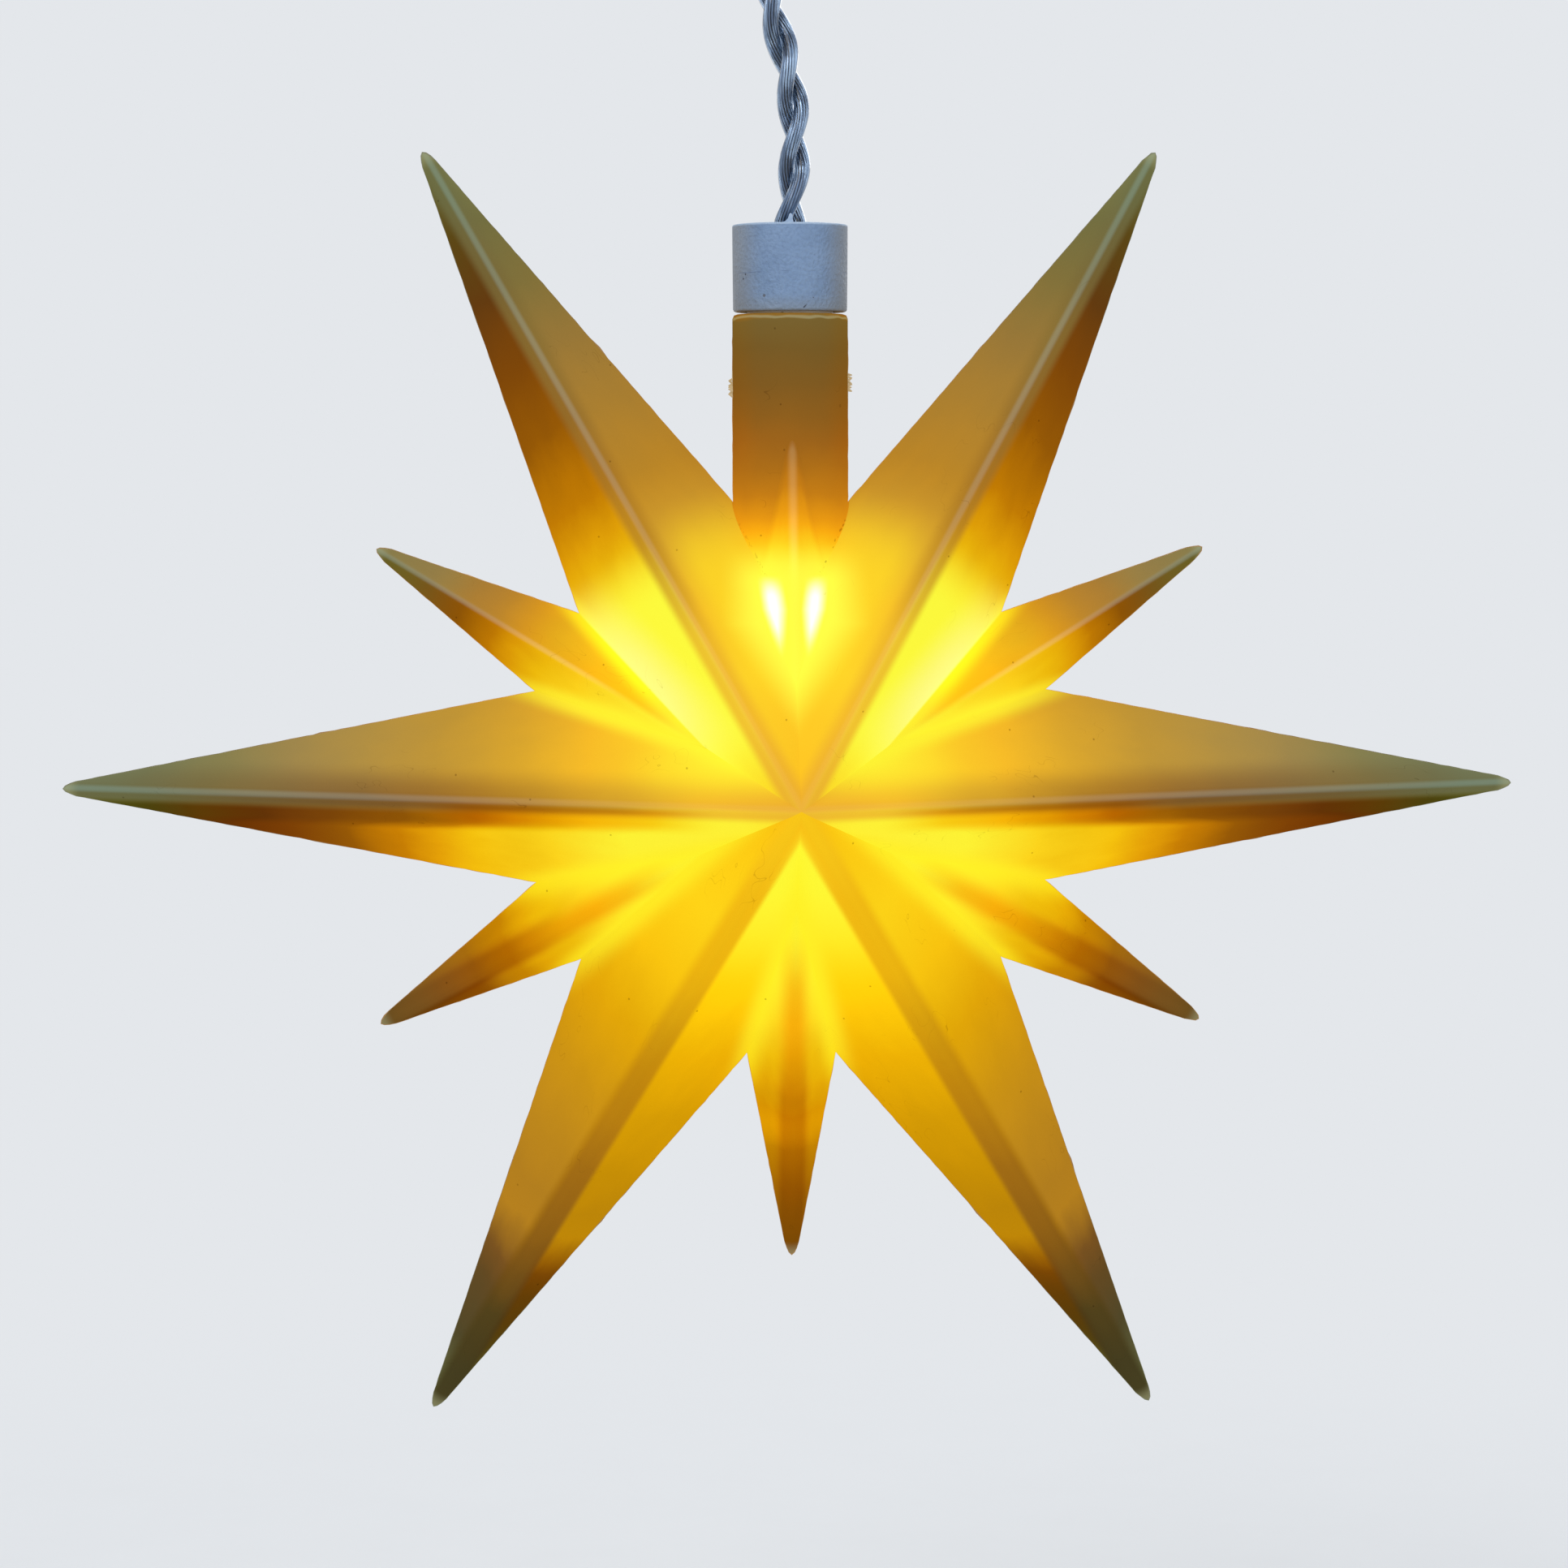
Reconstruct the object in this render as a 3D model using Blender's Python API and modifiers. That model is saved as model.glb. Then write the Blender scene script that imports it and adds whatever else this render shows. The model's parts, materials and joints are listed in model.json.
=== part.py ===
"""A hanging Christmas star: a hollow moulded star lit by one LED, its lamp holder and its lead.

Lengths are in metres. +Z is up and the star faces -Y. Zero is the mating face of the lead's
plug, where the star hangs from. Heights inside the star are measured from the star's centre,
heights in the plug from its mating face.
"""

from math import cos, pi, radians, sin, tan

import bmesh
import bpy
from mathutils import Matrix, Vector

# Fits that many pieces share.
seat_gap = 0.0003       # between two pieces that rest on each other
close_gap = 0.00015     # between a plug and its bore
fine_gap = 0.0001       # between the small electrical pieces
overrun = 0.001         # how far a cutter passes through what it cuts
edge_break = 0.0003     # chamfer on moulded rims

# Star: six long arms and six short ones, four-sided, that meet in a front and a back point.
long_reach = 0.0600             # centre to the blunt tip of a long arm
short_reach = 0.0393            # centre to the blunt tip of a short arm
arm_depth = 0.0250              # half the star's depth at its middle
arm_half_angle = radians(11)    # half the angle of an arm's outline
arm_pairs = 3                   # opposite arms are one double-ended form
ridge_radius = 0.0006           # rounding of the ridges and of the outline
ridge_segments = 2
tip_crown_share = 0.665         # a rounded tip is cut back by this much of a flat one
star_wall = 0.0009
neck_height = 0.03885           # centre to the neck's rim
neck_root = 0.0140              # centre to where the neck ends inside the star

# Round LED with its stamped lead frame.
led_radius = 0.0025
led_height = 0.0086             # base to the top of the dome
led_flange_rim = 0.0004
led_flange_height = 0.0010
led_flat_share = 0.87           # distance of the flange's flat, of the flange's radius
lead_pitch = 0.00254
lead_width = 0.0005
lead_stub = 0.0043              # what is left of the leads above the base
pocket_depth = 0.0053           # hollow in the lens that holds the lead frame
anvil_depth = 0.0049            # base to the anvil's face
anvil_height = 0.0009
anvil_reach = 0.00045           # how far the anvil passes the LED's axis
cup_radius = 0.0003
cup_depth = 0.00025
chip_radius = 0.0002
chip_height = 0.0002
post_gap = 0.0003               # between the anvil and the anode's flag
post_height = 0.0006

# Series resistor, soldered joints and heat-shrink sleeves.
resistor_radius = 0.00085
resistor_waist = 0.00075
resistor_length = 0.0034
resistor_bulge = 0.0009         # length of each thicker end
resistor_tail = 0.0018          # lead at each end
resistor_lead_radius = 0.00025
joint_length = 0.0020
joint_space = 0.0004            # between the two ends inside a joint
joint_wall = 0.0002
sleeve_wall = 0.00015
sleeve_overlap = 0.0011         # what a sleeve covers beyond the joints

# Insulated wires.
wire_diameter = 0.00135
core_diameter = 0.0006
stripped_end = 0.0013
wire_spacing = 0.00156          # centre to centre, where the pair leaves the cap
wire_gap = 0.00012              # round the wires in the cap's slot

# LED carrier: the stem of the lamp holder.
carrier_length = 0.0226
carrier_head_wall = 0.00049     # round the LED's flange
carrier_head_length = 0.0040
socket_depth = 0.0024
carrier_stem_clearance = 0.0003
groove_wall = 0.00048           # left under the seal ring's groove
groove_drop = 0.0022            # neck's rim to the top of the groove
ring_side_gap = 0.00012
snap_height = 0.00015           # how far the snap rib stands out of the stem
snap_length = 0.0004
snap_drop = 0.0005              # carrier's top to the snap rib
retainer_length = 0.0008

# Cap of the lamp holder.
cap_height = 0.0071
cap_roof = 0.0012
cap_wall = 0.0010
cap_draft = 0.00005             # the cap is this much wider at its top
cap_gap = 0.0002                # cap's rim to the neck's rim
nib_radius = 0.0003
nib_tip_radius = 0.00012
nib_height = 0.00084
nib_forward = 0.00175
seal_thickness = 0.0015

# Lead: the free pair of wires, as one plain tube.
cord_diameter = 0.0027
cord_rise = 0.0330              # cap's top to the strain relief
cord_points = 11
cord_route_shares = ((0, 0), (0.004, 0.05), (0.012, 0.16), (0.008, 0.30), (-0.014, 0.42),
                     (-0.048, 0.555), (-0.062, 0.70), (-0.036, 0.83), (-0.008, 0.93), (0, 1))

# Strain relief at the plug.
boot_length = 0.0096
boot_radius_top = 0.0036
boot_radius_low = 0.0021
boot_ribs = 5
boot_groove_depth = 0.0005
boot_collar = 0.0016            # plain length at the top
boot_bore_gap = 0.0002

# Plug with two sockets and a captive nut.
plug_length = 0.0200
plug_nose_length = 0.0060
plug_nose_wall = 0.0009
plug_collar_rim = 0.0021        # collar that holds the nut, beyond the nose
plug_collar_length = 0.0018
plug_barrel_radius = 0.0050
plug_grip_radius = 0.0058
plug_grip_start = 0.0130        # mating face to the grip
plug_tail_radius = 0.0042
plug_tail_length = 0.0030
plug_rim_drop = 0.0003          # nose's rim below the insert's face
plug_cavity_depth = 0.0160
insert_radius = 0.0030
insert_length = 0.0115
insert_key_width = 0.0010
insert_key_depth = 0.0005
socket_pitch = 0.0030
socket_radius = 0.00065
socket_bore_radius = 0.0004
socket_bore_depth = 0.0064
socket_length = 0.0126
socket_drop = 0.0006            # mating face to the socket's rim
solder_cup_depth = 0.0022
solder_cup_radius = 0.00045
plug_ring_section = 0.0010

# Captive coupling nut.
nut_drop = 0.0005               # mating face to the nut's rim
nut_wall = 0.0014
nut_bore_gap = 0.0003           # round the plug's collar
nut_flange_gap = 0.0003         # round the plug's barrel
nut_flange_length = 0.0018
nut_flutes = 18
nut_flute_radius = 0.0006
nut_flute_share = 0.8           # how far the flutes' centres stand out, of their radius
nut_rim_length = 0.0012         # plain rim in front of the flutes

# Facets.
turned_steps = 32
fine_steps = 16
hair_steps = 12
ring_points = 10
dome_points = 7
flute_steps = 10

# Sizes that follow from those above.
arm_slope = arm_depth / long_reach
arm_spread = tan(arm_half_angle)
flange_radius = led_radius + led_flange_rim
socket_bore = flange_radius + 2 * close_gap
head_radius = socket_bore + carrier_head_wall
neck_bore = head_radius + close_gap
neck_radius = neck_bore + star_wall
stem_radius = neck_bore - carrier_stem_clearance
sleeve_radius = resistor_radius + fine_gap + sleeve_wall
carrier_bore = lead_pitch / 2 + sleeve_radius + fine_gap
groove_radius = carrier_bore + groove_wall
ring_section = neck_bore - groove_radius - 2 * fine_gap
ring_centre_radius = (neck_bore + groove_radius) / 2
cap_bore = stem_radius + close_gap
cap_radius = cap_bore + cap_wall
wire_radius = wire_diameter / 2
core_radius = core_diameter / 2
slot_half_width = wire_radius + wire_gap
slot_half_length = wire_spacing / 2 + slot_half_width
pocket_radius = lead_pitch / 2 + lead_width + fine_gap

cap_low = neck_height + cap_gap
cap_top = cap_low + cap_height
seal_top = cap_top - cap_roof - seat_gap
carrier_top = seal_top - seal_thickness - seat_gap
carrier_low = carrier_top - carrier_length
led_base = carrier_low + socket_depth - seat_gap
lead_top = led_base + lead_stub
boot_top = plug_length + seat_gap
boot_low = boot_top + boot_length
hang_height = boot_low + cord_rise + cap_top


def clear_scene():
    for obj in list(bpy.data.objects):
        bpy.data.objects.remove(obj, do_unlink=True)


def new_collection(name, hidden=False):
    collection = bpy.data.collections.new(name)
    bpy.context.scene.collection.children.link(collection)
    collection.hide_render = hidden
    return collection


def empty(name, height, parent=None):
    frame = bpy.data.objects.new(name, None)
    frame.empty_display_size = neck_radius
    frame.location = (0, 0, height)
    frame.parent = parent
    parts.objects.link(frame)
    return frame


def material(name, colour, roughness, metallic=0.0, transmission=0.0):
    made = bpy.data.materials.new(name)
    made.use_nodes = True
    shader = made.node_tree.nodes["Principled BSDF"]
    shader.inputs["Base Color"].default_value = (*colour, 1)
    shader.inputs["Roughness"].default_value = roughness
    shader.inputs["Metallic"].default_value = metallic
    shader.inputs["Transmission Weight"].default_value = transmission
    made.diffuse_color = (*colour, 1)
    return made


def add(name, data, frame, look=None, at=(0, 0, 0), collection=None):
    obj = bpy.data.objects.new(name, data)
    obj.location = at
    obj.parent = frame
    if look:
        data.materials.append(look)
    (collection or parts).objects.link(obj)
    return obj


def mesh_from(name, bm):
    data = bpy.data.meshes.new(name)
    bmesh.ops.recalc_face_normals(bm, faces=bm.faces)
    bm.to_mesh(data)
    bm.free()
    return data


def helper(obj):
    """Keeps a cutter, or a form that is joined to a piece, out of the render."""
    obj.hide_render = True
    obj.display_type = "WIRE"
    return obj


def boolean(obj, other, operation):
    step = obj.modifiers.new(operation.lower(), "BOOLEAN")
    step.operation = operation
    step.solver = "EXACT"
    if isinstance(other, bpy.types.Collection):
        step.operand_type = "COLLECTION"
        step.collection = other
    else:
        step.object = other
    return step


def turned(name, outline, frame, look, at=(0, 0, 0), steps=turned_steps, collection=None):
    """A turned piece. Its outline's (radius, height) points run down the outer side.

    An outline that starts and ends on the axis makes a solid, and any other makes a ring.
    """
    bm = bmesh.new()
    points = [bm.verts.new((radius, 0, height)) for radius, height in outline]
    for first, second in zip(points, points[1:]):
        bm.edges.new((first, second))
    if outline[0][0] > 0 or outline[-1][0] > 0:
        bm.edges.new((points[-1], points[0]))
    data = bpy.data.meshes.new(name)
    bm.to_mesh(data)
    bm.free()
    obj = add(name, data, frame, look, at, collection)
    screw = obj.modifiers.new("turn", "SCREW")
    screw.steps = screw.render_steps = steps
    screw.use_merge_vertices = True
    screw.merge_threshold = 0.000001
    return obj


def ring_outline(centre_radius, section_radius):
    """Round section of a seal ring, running down its outer side."""
    turns = [pi / 2 - 2 * pi * step / ring_points for step in range(ring_points)]
    return [
        (centre_radius + section_radius * cos(turn), section_radius * sin(turn))
        for turn in turns
    ]


def round_rod(name, radius, low, high, frame, across=0, steps=turned_steps, collection=None):
    bm = bmesh.new()
    bmesh.ops.create_cone(
        bm, cap_ends=True, segments=steps, radius1=radius, radius2=radius, depth=high - low
    )
    bmesh.ops.translate(bm, verts=bm.verts, vec=(across, 0, (low + high) / 2))
    return add(name, mesh_from(name, bm), frame, collection=collection)


def box(name, low, high, frame, collection=None):
    bm = bmesh.new()
    bmesh.ops.create_cube(bm, size=1)
    size = [b - a for a, b in zip(low, high)]
    middle = [(a + b) / 2 for a, b in zip(low, high)]
    bmesh.ops.scale(bm, verts=bm.verts, vec=size)
    bmesh.ops.translate(bm, verts=bm.verts, vec=middle)
    return add(name, mesh_from(name, bm), frame, collection=collection)


def wire(name, route, radius, frame, look, end_shares=None):
    """A round wire along its points. A share below 1 makes it thinner there, as where it's bare."""
    curve = bpy.data.curves.new(name, "CURVE")
    curve.dimensions = "3D"
    curve.bevel_depth = radius
    curve.bevel_resolution = 2
    curve.use_fill_caps = True
    spline = curve.splines.new("POLY")
    spline.points.add(len(route) - 1)
    for number, (point, place) in enumerate(zip(spline.points, route)):
        point.co = (*place, 1)
        point.radius = end_shares[number] if end_shares else 1
    return add(name, curve, frame, look)


def stamped(name, outline, thickness, frame, look, height):
    """A flat piece cut from sheet: its outline in X and Z, its thickness along Y."""
    curve = bpy.data.curves.new(name, "CURVE")
    curve.dimensions = "2D"
    curve.fill_mode = "BOTH"
    curve.extrude = thickness / 2
    spline = curve.splines.new("POLY")
    spline.points.add(len(outline) - 1)
    for point, (x, z) in zip(spline.points, outline):
        point.co = (x, z, 0, 1)
    spline.use_cyclic_u = True
    obj = add(name, curve, frame, look, (0, 0, height))
    obj.rotation_euler = (pi / 2, 0, 0)
    return obj


def smooth_route(places, count):
    """Evenly spread points on a smooth curve through the given places."""
    places = [Vector(place) for place in places]
    ends = [places[0] * 2 - places[1], *places, places[-1] * 2 - places[-2]]
    fine = []
    steps = 20
    for before, start, end, after in zip(ends, ends[1:], ends[2:], ends[3:]):
        for step in range(steps):
            t = step / steps
            fine.append(
                (start * 2 + (end - before) * t
                 + (before * 2 - start * 5 + end * 4 - after) * t**2
                 + (start * 3 - before - end * 3 + after) * t**3) / 2
            )
    fine.append(places[-1])
    along = [0]
    for first, second in zip(fine, fine[1:]):
        along.append(along[-1] + (second - first).length)
    spread = []
    for number in range(count):
        wanted = along[-1] * number / (count - 1)
        after = next((i for i, far in enumerate(along) if far >= wanted), len(fine) - 1)
        before = max(after - 1, 0)
        step = along[after] - along[before]
        share = (wanted - along[before]) / step if step else 0
        spread.append(fine[before].lerp(fine[after], share))
    return spread


def edge_cuts():
    """How far the rounding reaches into an arm's faces at a ridge and at the outline."""
    face = Vector((arm_slope, 1, arm_slope / arm_spread))
    across_ridge = face.angle(Vector((face.x, face.y, -face.z)))
    across_outline = face.angle(Vector((face.x, -face.y, face.z)))
    return ridge_radius * tan(across_ridge / 2), ridge_radius * tan(across_outline / 2)


def tip_setback():
    """Length that the rounding takes off an arm's sharp tip."""
    ridge_cut, outline_cut = edge_cuts()
    ridge = Vector((1, -arm_slope, 0)).normalized()
    outline = Vector((1, 0, -arm_spread)).normalized()
    flat_cut = (outline_cut * ridge.x + ridge_cut * outline.x) / sin(ridge.angle(outline))
    return flat_cut * tip_crown_share


def wall_setback(wall):
    """Length that an arm loses when all its faces move in by the wall's thickness."""
    return wall * Vector((arm_slope, 1, arm_slope / arm_spread)).length / arm_slope


def arm_pair(name, reach, turn, rounded, collection):
    """Two opposite arms as one eight-sided form, sharp or with rounded ridges and outline."""
    bm = bmesh.new()
    bmesh.ops.create_uvsphere(bm, u_segments=4, v_segments=2, radius=1)
    bmesh.ops.scale(bm, verts=bm.verts, vec=(reach, reach * arm_slope, reach * arm_spread))
    ridge_cut, outline_cut = edge_cuts()
    weight = bm.edges.layers.float.new("bevel_weight_edge")
    for edge in bm.edges:
        if any(abs(end.co.x) > reach / 2 for end in edge.verts):
            on_ridge = any(abs(end.co.y) > reach * arm_slope / 2 for end in edge.verts)
            edge[weight] = 1 if on_ridge else outline_cut / ridge_cut
    bmesh.ops.rotate(bm, verts=bm.verts, cent=(0, 0, 0), matrix=Matrix.Rotation(turn, 3, "Y"))
    obj = add(name, mesh_from(name, bm), star_frame, collection=collection)
    if rounded:
        bevel = obj.modifiers.new("rounded_ridges", "BEVEL")
        bevel.limit_method = "WEIGHT"
        bevel.width = ridge_cut
        bevel.segments = ridge_segments
        bevel.use_clamp_overlap = False
    return obj


def arm_pairs_of(name, long_arm, short_arm, rounded, collection):
    """All the arms' forms: the long ones every sixty degrees, the short ones between them."""
    made = []
    for number in range(arm_pairs):
        turn = pi * number / arm_pairs
        between = turn + pi / arm_pairs / 2
        made.append(arm_pair(f"{name}_long_{number}", long_arm, turn, rounded, collection))
        made.append(arm_pair(f"{name}_short_{number}", short_arm, between, rounded, collection))
    return made


def build_star():
    """The star: rounded arms and a neck, joined, then hollowed by the same forms set in."""
    long_arm = long_reach + tip_setback()
    short_arm = short_reach + tip_setback()
    inset = wall_setback(star_wall)
    outside = new_collection("star_outside", hidden=True)
    inside = new_collection("star_inside", hidden=True)

    forms = arm_pairs_of("arm", long_arm, short_arm, True, outside)
    hollows = arm_pairs_of("hollow", long_arm - inset, short_arm - inset, False, inside)
    turned(
        "neck_form",
        [(0, neck_height), (neck_radius - edge_break, neck_height),
         (neck_radius, neck_height - edge_break), (neck_radius, neck_root), (0, neck_root)],
        star_frame, None, collection=outside,
    )
    round_rod("neck_bore_form", neck_bore, neck_root, max(neck_height, short_arm) + overrun, star_frame,
              collection=inside)

    star, hollow = forms[0], hollows[0]
    outside.objects.unlink(star)
    inside.objects.unlink(hollow)
    parts.objects.link(star)
    cutters.objects.link(hollow)
    star.name = star.data.name = "star_shell"
    star.data.materials.append(yellow)
    for form in [hollow, *outside.objects, *inside.objects]:
        helper(form)
    boolean(hollow, inside, "UNION")
    boolean(star, outside, "UNION")
    boolean(star, hollow, "DIFFERENCE")


def build_cap():
    """The white cap: a cup with a slot for the pair of wires and a moulding nib beside it."""
    groove_low = carrier_top - snap_drop - snap_length - fine_gap
    groove_high = carrier_top - snap_drop + fine_gap
    groove = cap_bore + snap_height + fine_gap
    roof = cap_top - cap_roof
    cap = turned(
        "holder_cap",
        [(0, cap_top), (cap_radius + cap_draft - edge_break, cap_top),
         (cap_radius + cap_draft, cap_top - edge_break / 2),
         (cap_radius, cap_low + edge_break), (cap_radius - edge_break, cap_low),
         (cap_bore, cap_low), (cap_bore, groove_low), (groove, groove_low + fine_gap),
         (groove, groove_high - fine_gap), (cap_bore, groove_high), (cap_bore, roof), (0, roof)],
        star_frame, white,
    )
    nib = bmesh.new()
    bmesh.ops.create_cone(
        nib, cap_ends=True, segments=hair_steps, radius1=nib_radius, radius2=nib_tip_radius,
        depth=nib_height + cap_roof / 2,
    )
    bmesh.ops.translate(
        nib, verts=nib.verts, vec=(0, -nib_forward, cap_top + (nib_height - cap_roof / 2) / 2)
    )
    nib_form = add("nib_form", mesh_from("nib_form", nib), star_frame, collection=cutters)
    boolean(cap, helper(nib_form), "UNION")
    boolean(cap, wire_slot("cap_slot", roof, cap_top), "DIFFERENCE")

    seal = turned(
        "cable_seal",
        [(0, seal_top), (cap_bore - close_gap, seal_top),
         (cap_bore - close_gap, seal_top - seal_thickness), (0, seal_top - seal_thickness)],
        star_frame, grey_rubber,
    )
    boolean(seal, wire_slot("seal_slot", seal_top - seal_thickness, seal_top), "DIFFERENCE")


def wire_slot(name, low, high):
    """Cutter for the round-ended slot that both wires pass through."""
    slot = box(
        name,
        (-slot_half_length, -slot_half_width, low - overrun),
        (slot_half_length, slot_half_width, high + overrun),
        star_frame, cutters,
    )
    bevel = slot.modifiers.new("round_ends", "BEVEL")
    bevel.limit_method = "WEIGHT"
    bevel.width = slot_half_width - fine_gap
    bevel.segments = 3
    weights = slot.data.attributes.new("bevel_weight_edge", "FLOAT", "EDGE")
    for number, edge in enumerate(slot.data.edges):
        ends = [slot.data.vertices[end].co for end in edge.vertices]
        weights.data[number].value = 1 if (ends[0] - ends[1]).xy.length < fine_gap else 0
    return helper(slot)


def build_carrier():
    """The stem under the cap, with the LED's socket at its foot, and the ring on its neck."""
    snap_top = carrier_top - snap_drop
    groove_top = neck_height - groove_drop
    groove_low = groove_top - ring_section - 2 * ring_side_gap
    head_top = carrier_low + carrier_head_length
    turned(
        "led_carrier",
        [(stem_radius - edge_break, carrier_top), (stem_radius, carrier_top - edge_break),
         (stem_radius, snap_top), (stem_radius + snap_height, snap_top - snap_length / 2),
         (stem_radius, snap_top - snap_length),
         (stem_radius, groove_top), (groove_radius, groove_top),
         (groove_radius, groove_low), (stem_radius, groove_low),
         (stem_radius, head_top + edge_break), (head_radius, head_top),
         (head_radius, carrier_low + edge_break), (head_radius - edge_break, carrier_low),
         (socket_bore, carrier_low), (socket_bore, carrier_low + socket_depth),
         (carrier_bore, carrier_low + socket_depth), (carrier_bore, carrier_top)],
        star_frame, white,
    )
    turned(
        "neck_seal_ring", ring_outline(ring_centre_radius, ring_section / 2),
        star_frame, grey_rubber, (0, 0, (groove_top + groove_low) / 2),
    )
    retainer_outer = socket_bore - fine_gap
    retainer_inner = led_radius + fine_gap
    turned(
        "led_retaining_ring",
        [(retainer_outer, carrier_low + retainer_length), (retainer_outer, carrier_low),
         (retainer_inner, carrier_low), (retainer_inner, carrier_low + retainer_length)],
        star_frame, white,
    )


def build_led():
    """The LED, seated in the carrier with its dome down and its leads up."""
    dome_centre = -led_height + led_radius
    dome = [pi / 2 * step / dome_points for step in range(1, dome_points)]
    lens = turned(
        "led_lens",
        [(0, -pocket_depth), (pocket_radius, -pocket_depth), (pocket_radius, 0),
         (flange_radius, 0), (flange_radius, -led_flange_height),
         (led_radius, -led_flange_height), (led_radius, dome_centre)]
        + [(led_radius * cos(turn), dome_centre - led_radius * sin(turn)) for turn in dome]
        + [(0, -led_height)],
        star_frame, clear_epoxy, (0, 0, led_base),
    )
    flat = box(
        "flange_flat",
        (-flange_radius - overrun, -flange_radius - overrun, led_base - led_flange_height - overrun),
        (-flange_radius * led_flat_share, flange_radius + overrun, led_base + overrun),
        star_frame, cutters,
    )
    boolean(lens, helper(flat), "DIFFERENCE")

    near = lead_pitch / 2 - lead_width / 2
    far = lead_pitch / 2 + lead_width / 2
    flag = anvil_reach + post_gap
    flag_top = -anvil_depth + post_height
    stamped(
        "led_anode_lead",
        [(far, lead_stub), (near, lead_stub), (near, flag_top + lead_width / 2),
         (flag, flag_top), (flag, -anvil_depth), (far, -anvil_depth)],
        lead_width, star_frame, tinned, led_base,
    )
    anvil_top = -anvil_depth + anvil_height
    stamped(
        "led_cathode_lead",
        [(-near, lead_stub), (-far, lead_stub), (-far, -anvil_depth),
         (-cup_radius - cup_depth / 2, -anvil_depth), (-cup_radius, -anvil_depth + cup_depth),
         (cup_radius, -anvil_depth + cup_depth), (cup_radius + cup_depth / 2, -anvil_depth),
         (anvil_reach, -anvil_depth), (anvil_reach, anvil_top - lead_width / 2),
         (anvil_reach - lead_width / 2, anvil_top), (-near, anvil_top)],
        lead_width, star_frame, tinned, led_base,
    )
    chip_top = led_base - anvil_depth + cup_depth - fine_gap
    turned(
        "led_chip",
        [(0, 0), (chip_radius, 0), (chip_radius, -chip_height), (0, -chip_height)],
        star_frame, phosphor, (0, 0, chip_top), hair_steps,
    )


def solder_joint(name, middle, across):
    """A barrel of solder round two ends that face each other."""
    half = joint_length / 2
    inner = core_radius + fine_gap
    inner = max(inner, lead_width * 0.7071 + fine_gap / 2)
    outer = inner + joint_wall
    turned(
        name,
        [(inner, half), (outer - joint_wall / 2, half), (outer, half / 2), (outer, -half / 2),
         (outer - joint_wall / 2, -half), (inner, -half)],
        star_frame, solder, (across, 0, middle), fine_steps,
    )


def build_wiring():
    """From the LED's leads up to the cap: resistor, joints, sleeves and the two feed wires."""
    across = lead_pitch / 2
    anode_joint = lead_top + joint_space / 2
    resistor_low = lead_top + joint_space
    body_low = resistor_low + resistor_tail
    body_top = body_low + resistor_length
    resistor_top = body_top + resistor_tail
    feed_joint = resistor_top + joint_space / 2
    lead, thick, waist = resistor_lead_radius, resistor_radius, resistor_waist
    half, bulge = resistor_length / 2, resistor_bulge
    turned(
        "series_resistor",
        [(0, half + resistor_tail), (lead, half + resistor_tail), (lead, half),
         (thick - fine_gap, half), (thick, half - fine_gap), (thick, half - bulge),
         (waist, half - bulge - fine_gap), (waist, -half + bulge + fine_gap),
         (thick, -half + bulge), (thick, -half + fine_gap), (thick - fine_gap, -half),
         (lead, -half), (lead, -half - resistor_tail), (0, -half - resistor_tail)],
        star_frame, ceramic, (across, 0, (body_low + body_top) / 2), fine_steps,
    )
    solder_joint("solder_joint_anode", anode_joint, across)
    solder_joint("solder_joint_feed", feed_joint, across)
    solder_joint("solder_joint_cathode", anode_joint, -across)

    feed_wire("feed_wire_positive", resistor_top + joint_space, across)
    feed_wire("feed_wire_negative", resistor_low, -across)

    sleeve_low = lead_top - joint_length / 2 - sleeve_overlap / 2
    covered = sleeve_overlap + stripped_end
    sleeve(
        "sleeve_positive", across,
        [(sleeve_low, sleeve_radius - sleeve_wall),
         (resistor_top + joint_space + covered, sleeve_radius - sleeve_wall)],
    )
    sleeve(
        "sleeve_negative", -across,
        [(sleeve_low, wire_radius + fine_gap),
         (resistor_low + covered, wire_radius + fine_gap)],
    )


def sleeve(name, across, ends):
    """A heat-shrink tube whose ends are drawn in a little."""
    (low, bore), (high, _) = ends
    turned(
        name,
        [(bore + sleeve_wall / 2, high), (bore + sleeve_wall, high - sleeve_wall * 2),
         (bore + sleeve_wall, low + sleeve_wall * 2), (bore + sleeve_wall / 2, low),
         (bore, low), (bore, high)],
        star_frame, sleeve_black, (across, 0, 0), fine_steps,
    )


def feed_wire(name, low, across):
    """An insulated wire: bare at its foot, then up the carrier and in to the cap's slot."""
    side = 1 if across > 0 else -1
    exit_across = side * wire_spacing / 2
    bend_low = low + stripped_end + wire_radius
    bend_high = carrier_top - wire_radius
    rise = bend_high - bend_low
    route = [(across, 0, low), (across, 0, low + stripped_end),
             (across, 0, low + stripped_end + fine_gap), (across, 0, bend_low)]
    for share in (0.25, 0.5, 0.75):
        eased = share * share * (3 - 2 * share)
        route.append((across + (exit_across - across) * eased, 0, bend_low + rise * share))
    route += [(exit_across, 0, bend_high), (exit_across, 0, cap_top)]
    bare = core_diameter / wire_diameter
    shares = [bare, bare] + [1] * (len(route) - 2)
    wire(name, route, wire_radius, star_frame, clear_vinyl, shares)


def build_lead():
    """The free cord between the cap and the strain relief."""
    low = -boot_low - cord_rise + seat_gap
    rise = cord_rise - 2 * seat_gap
    places = [(across * rise, 0, low + up * rise) for across, up in cord_route_shares]
    wire("lead_cord", smooth_route(places, cord_points), cord_diameter / 2, plug_frame, clear_vinyl)


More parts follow.
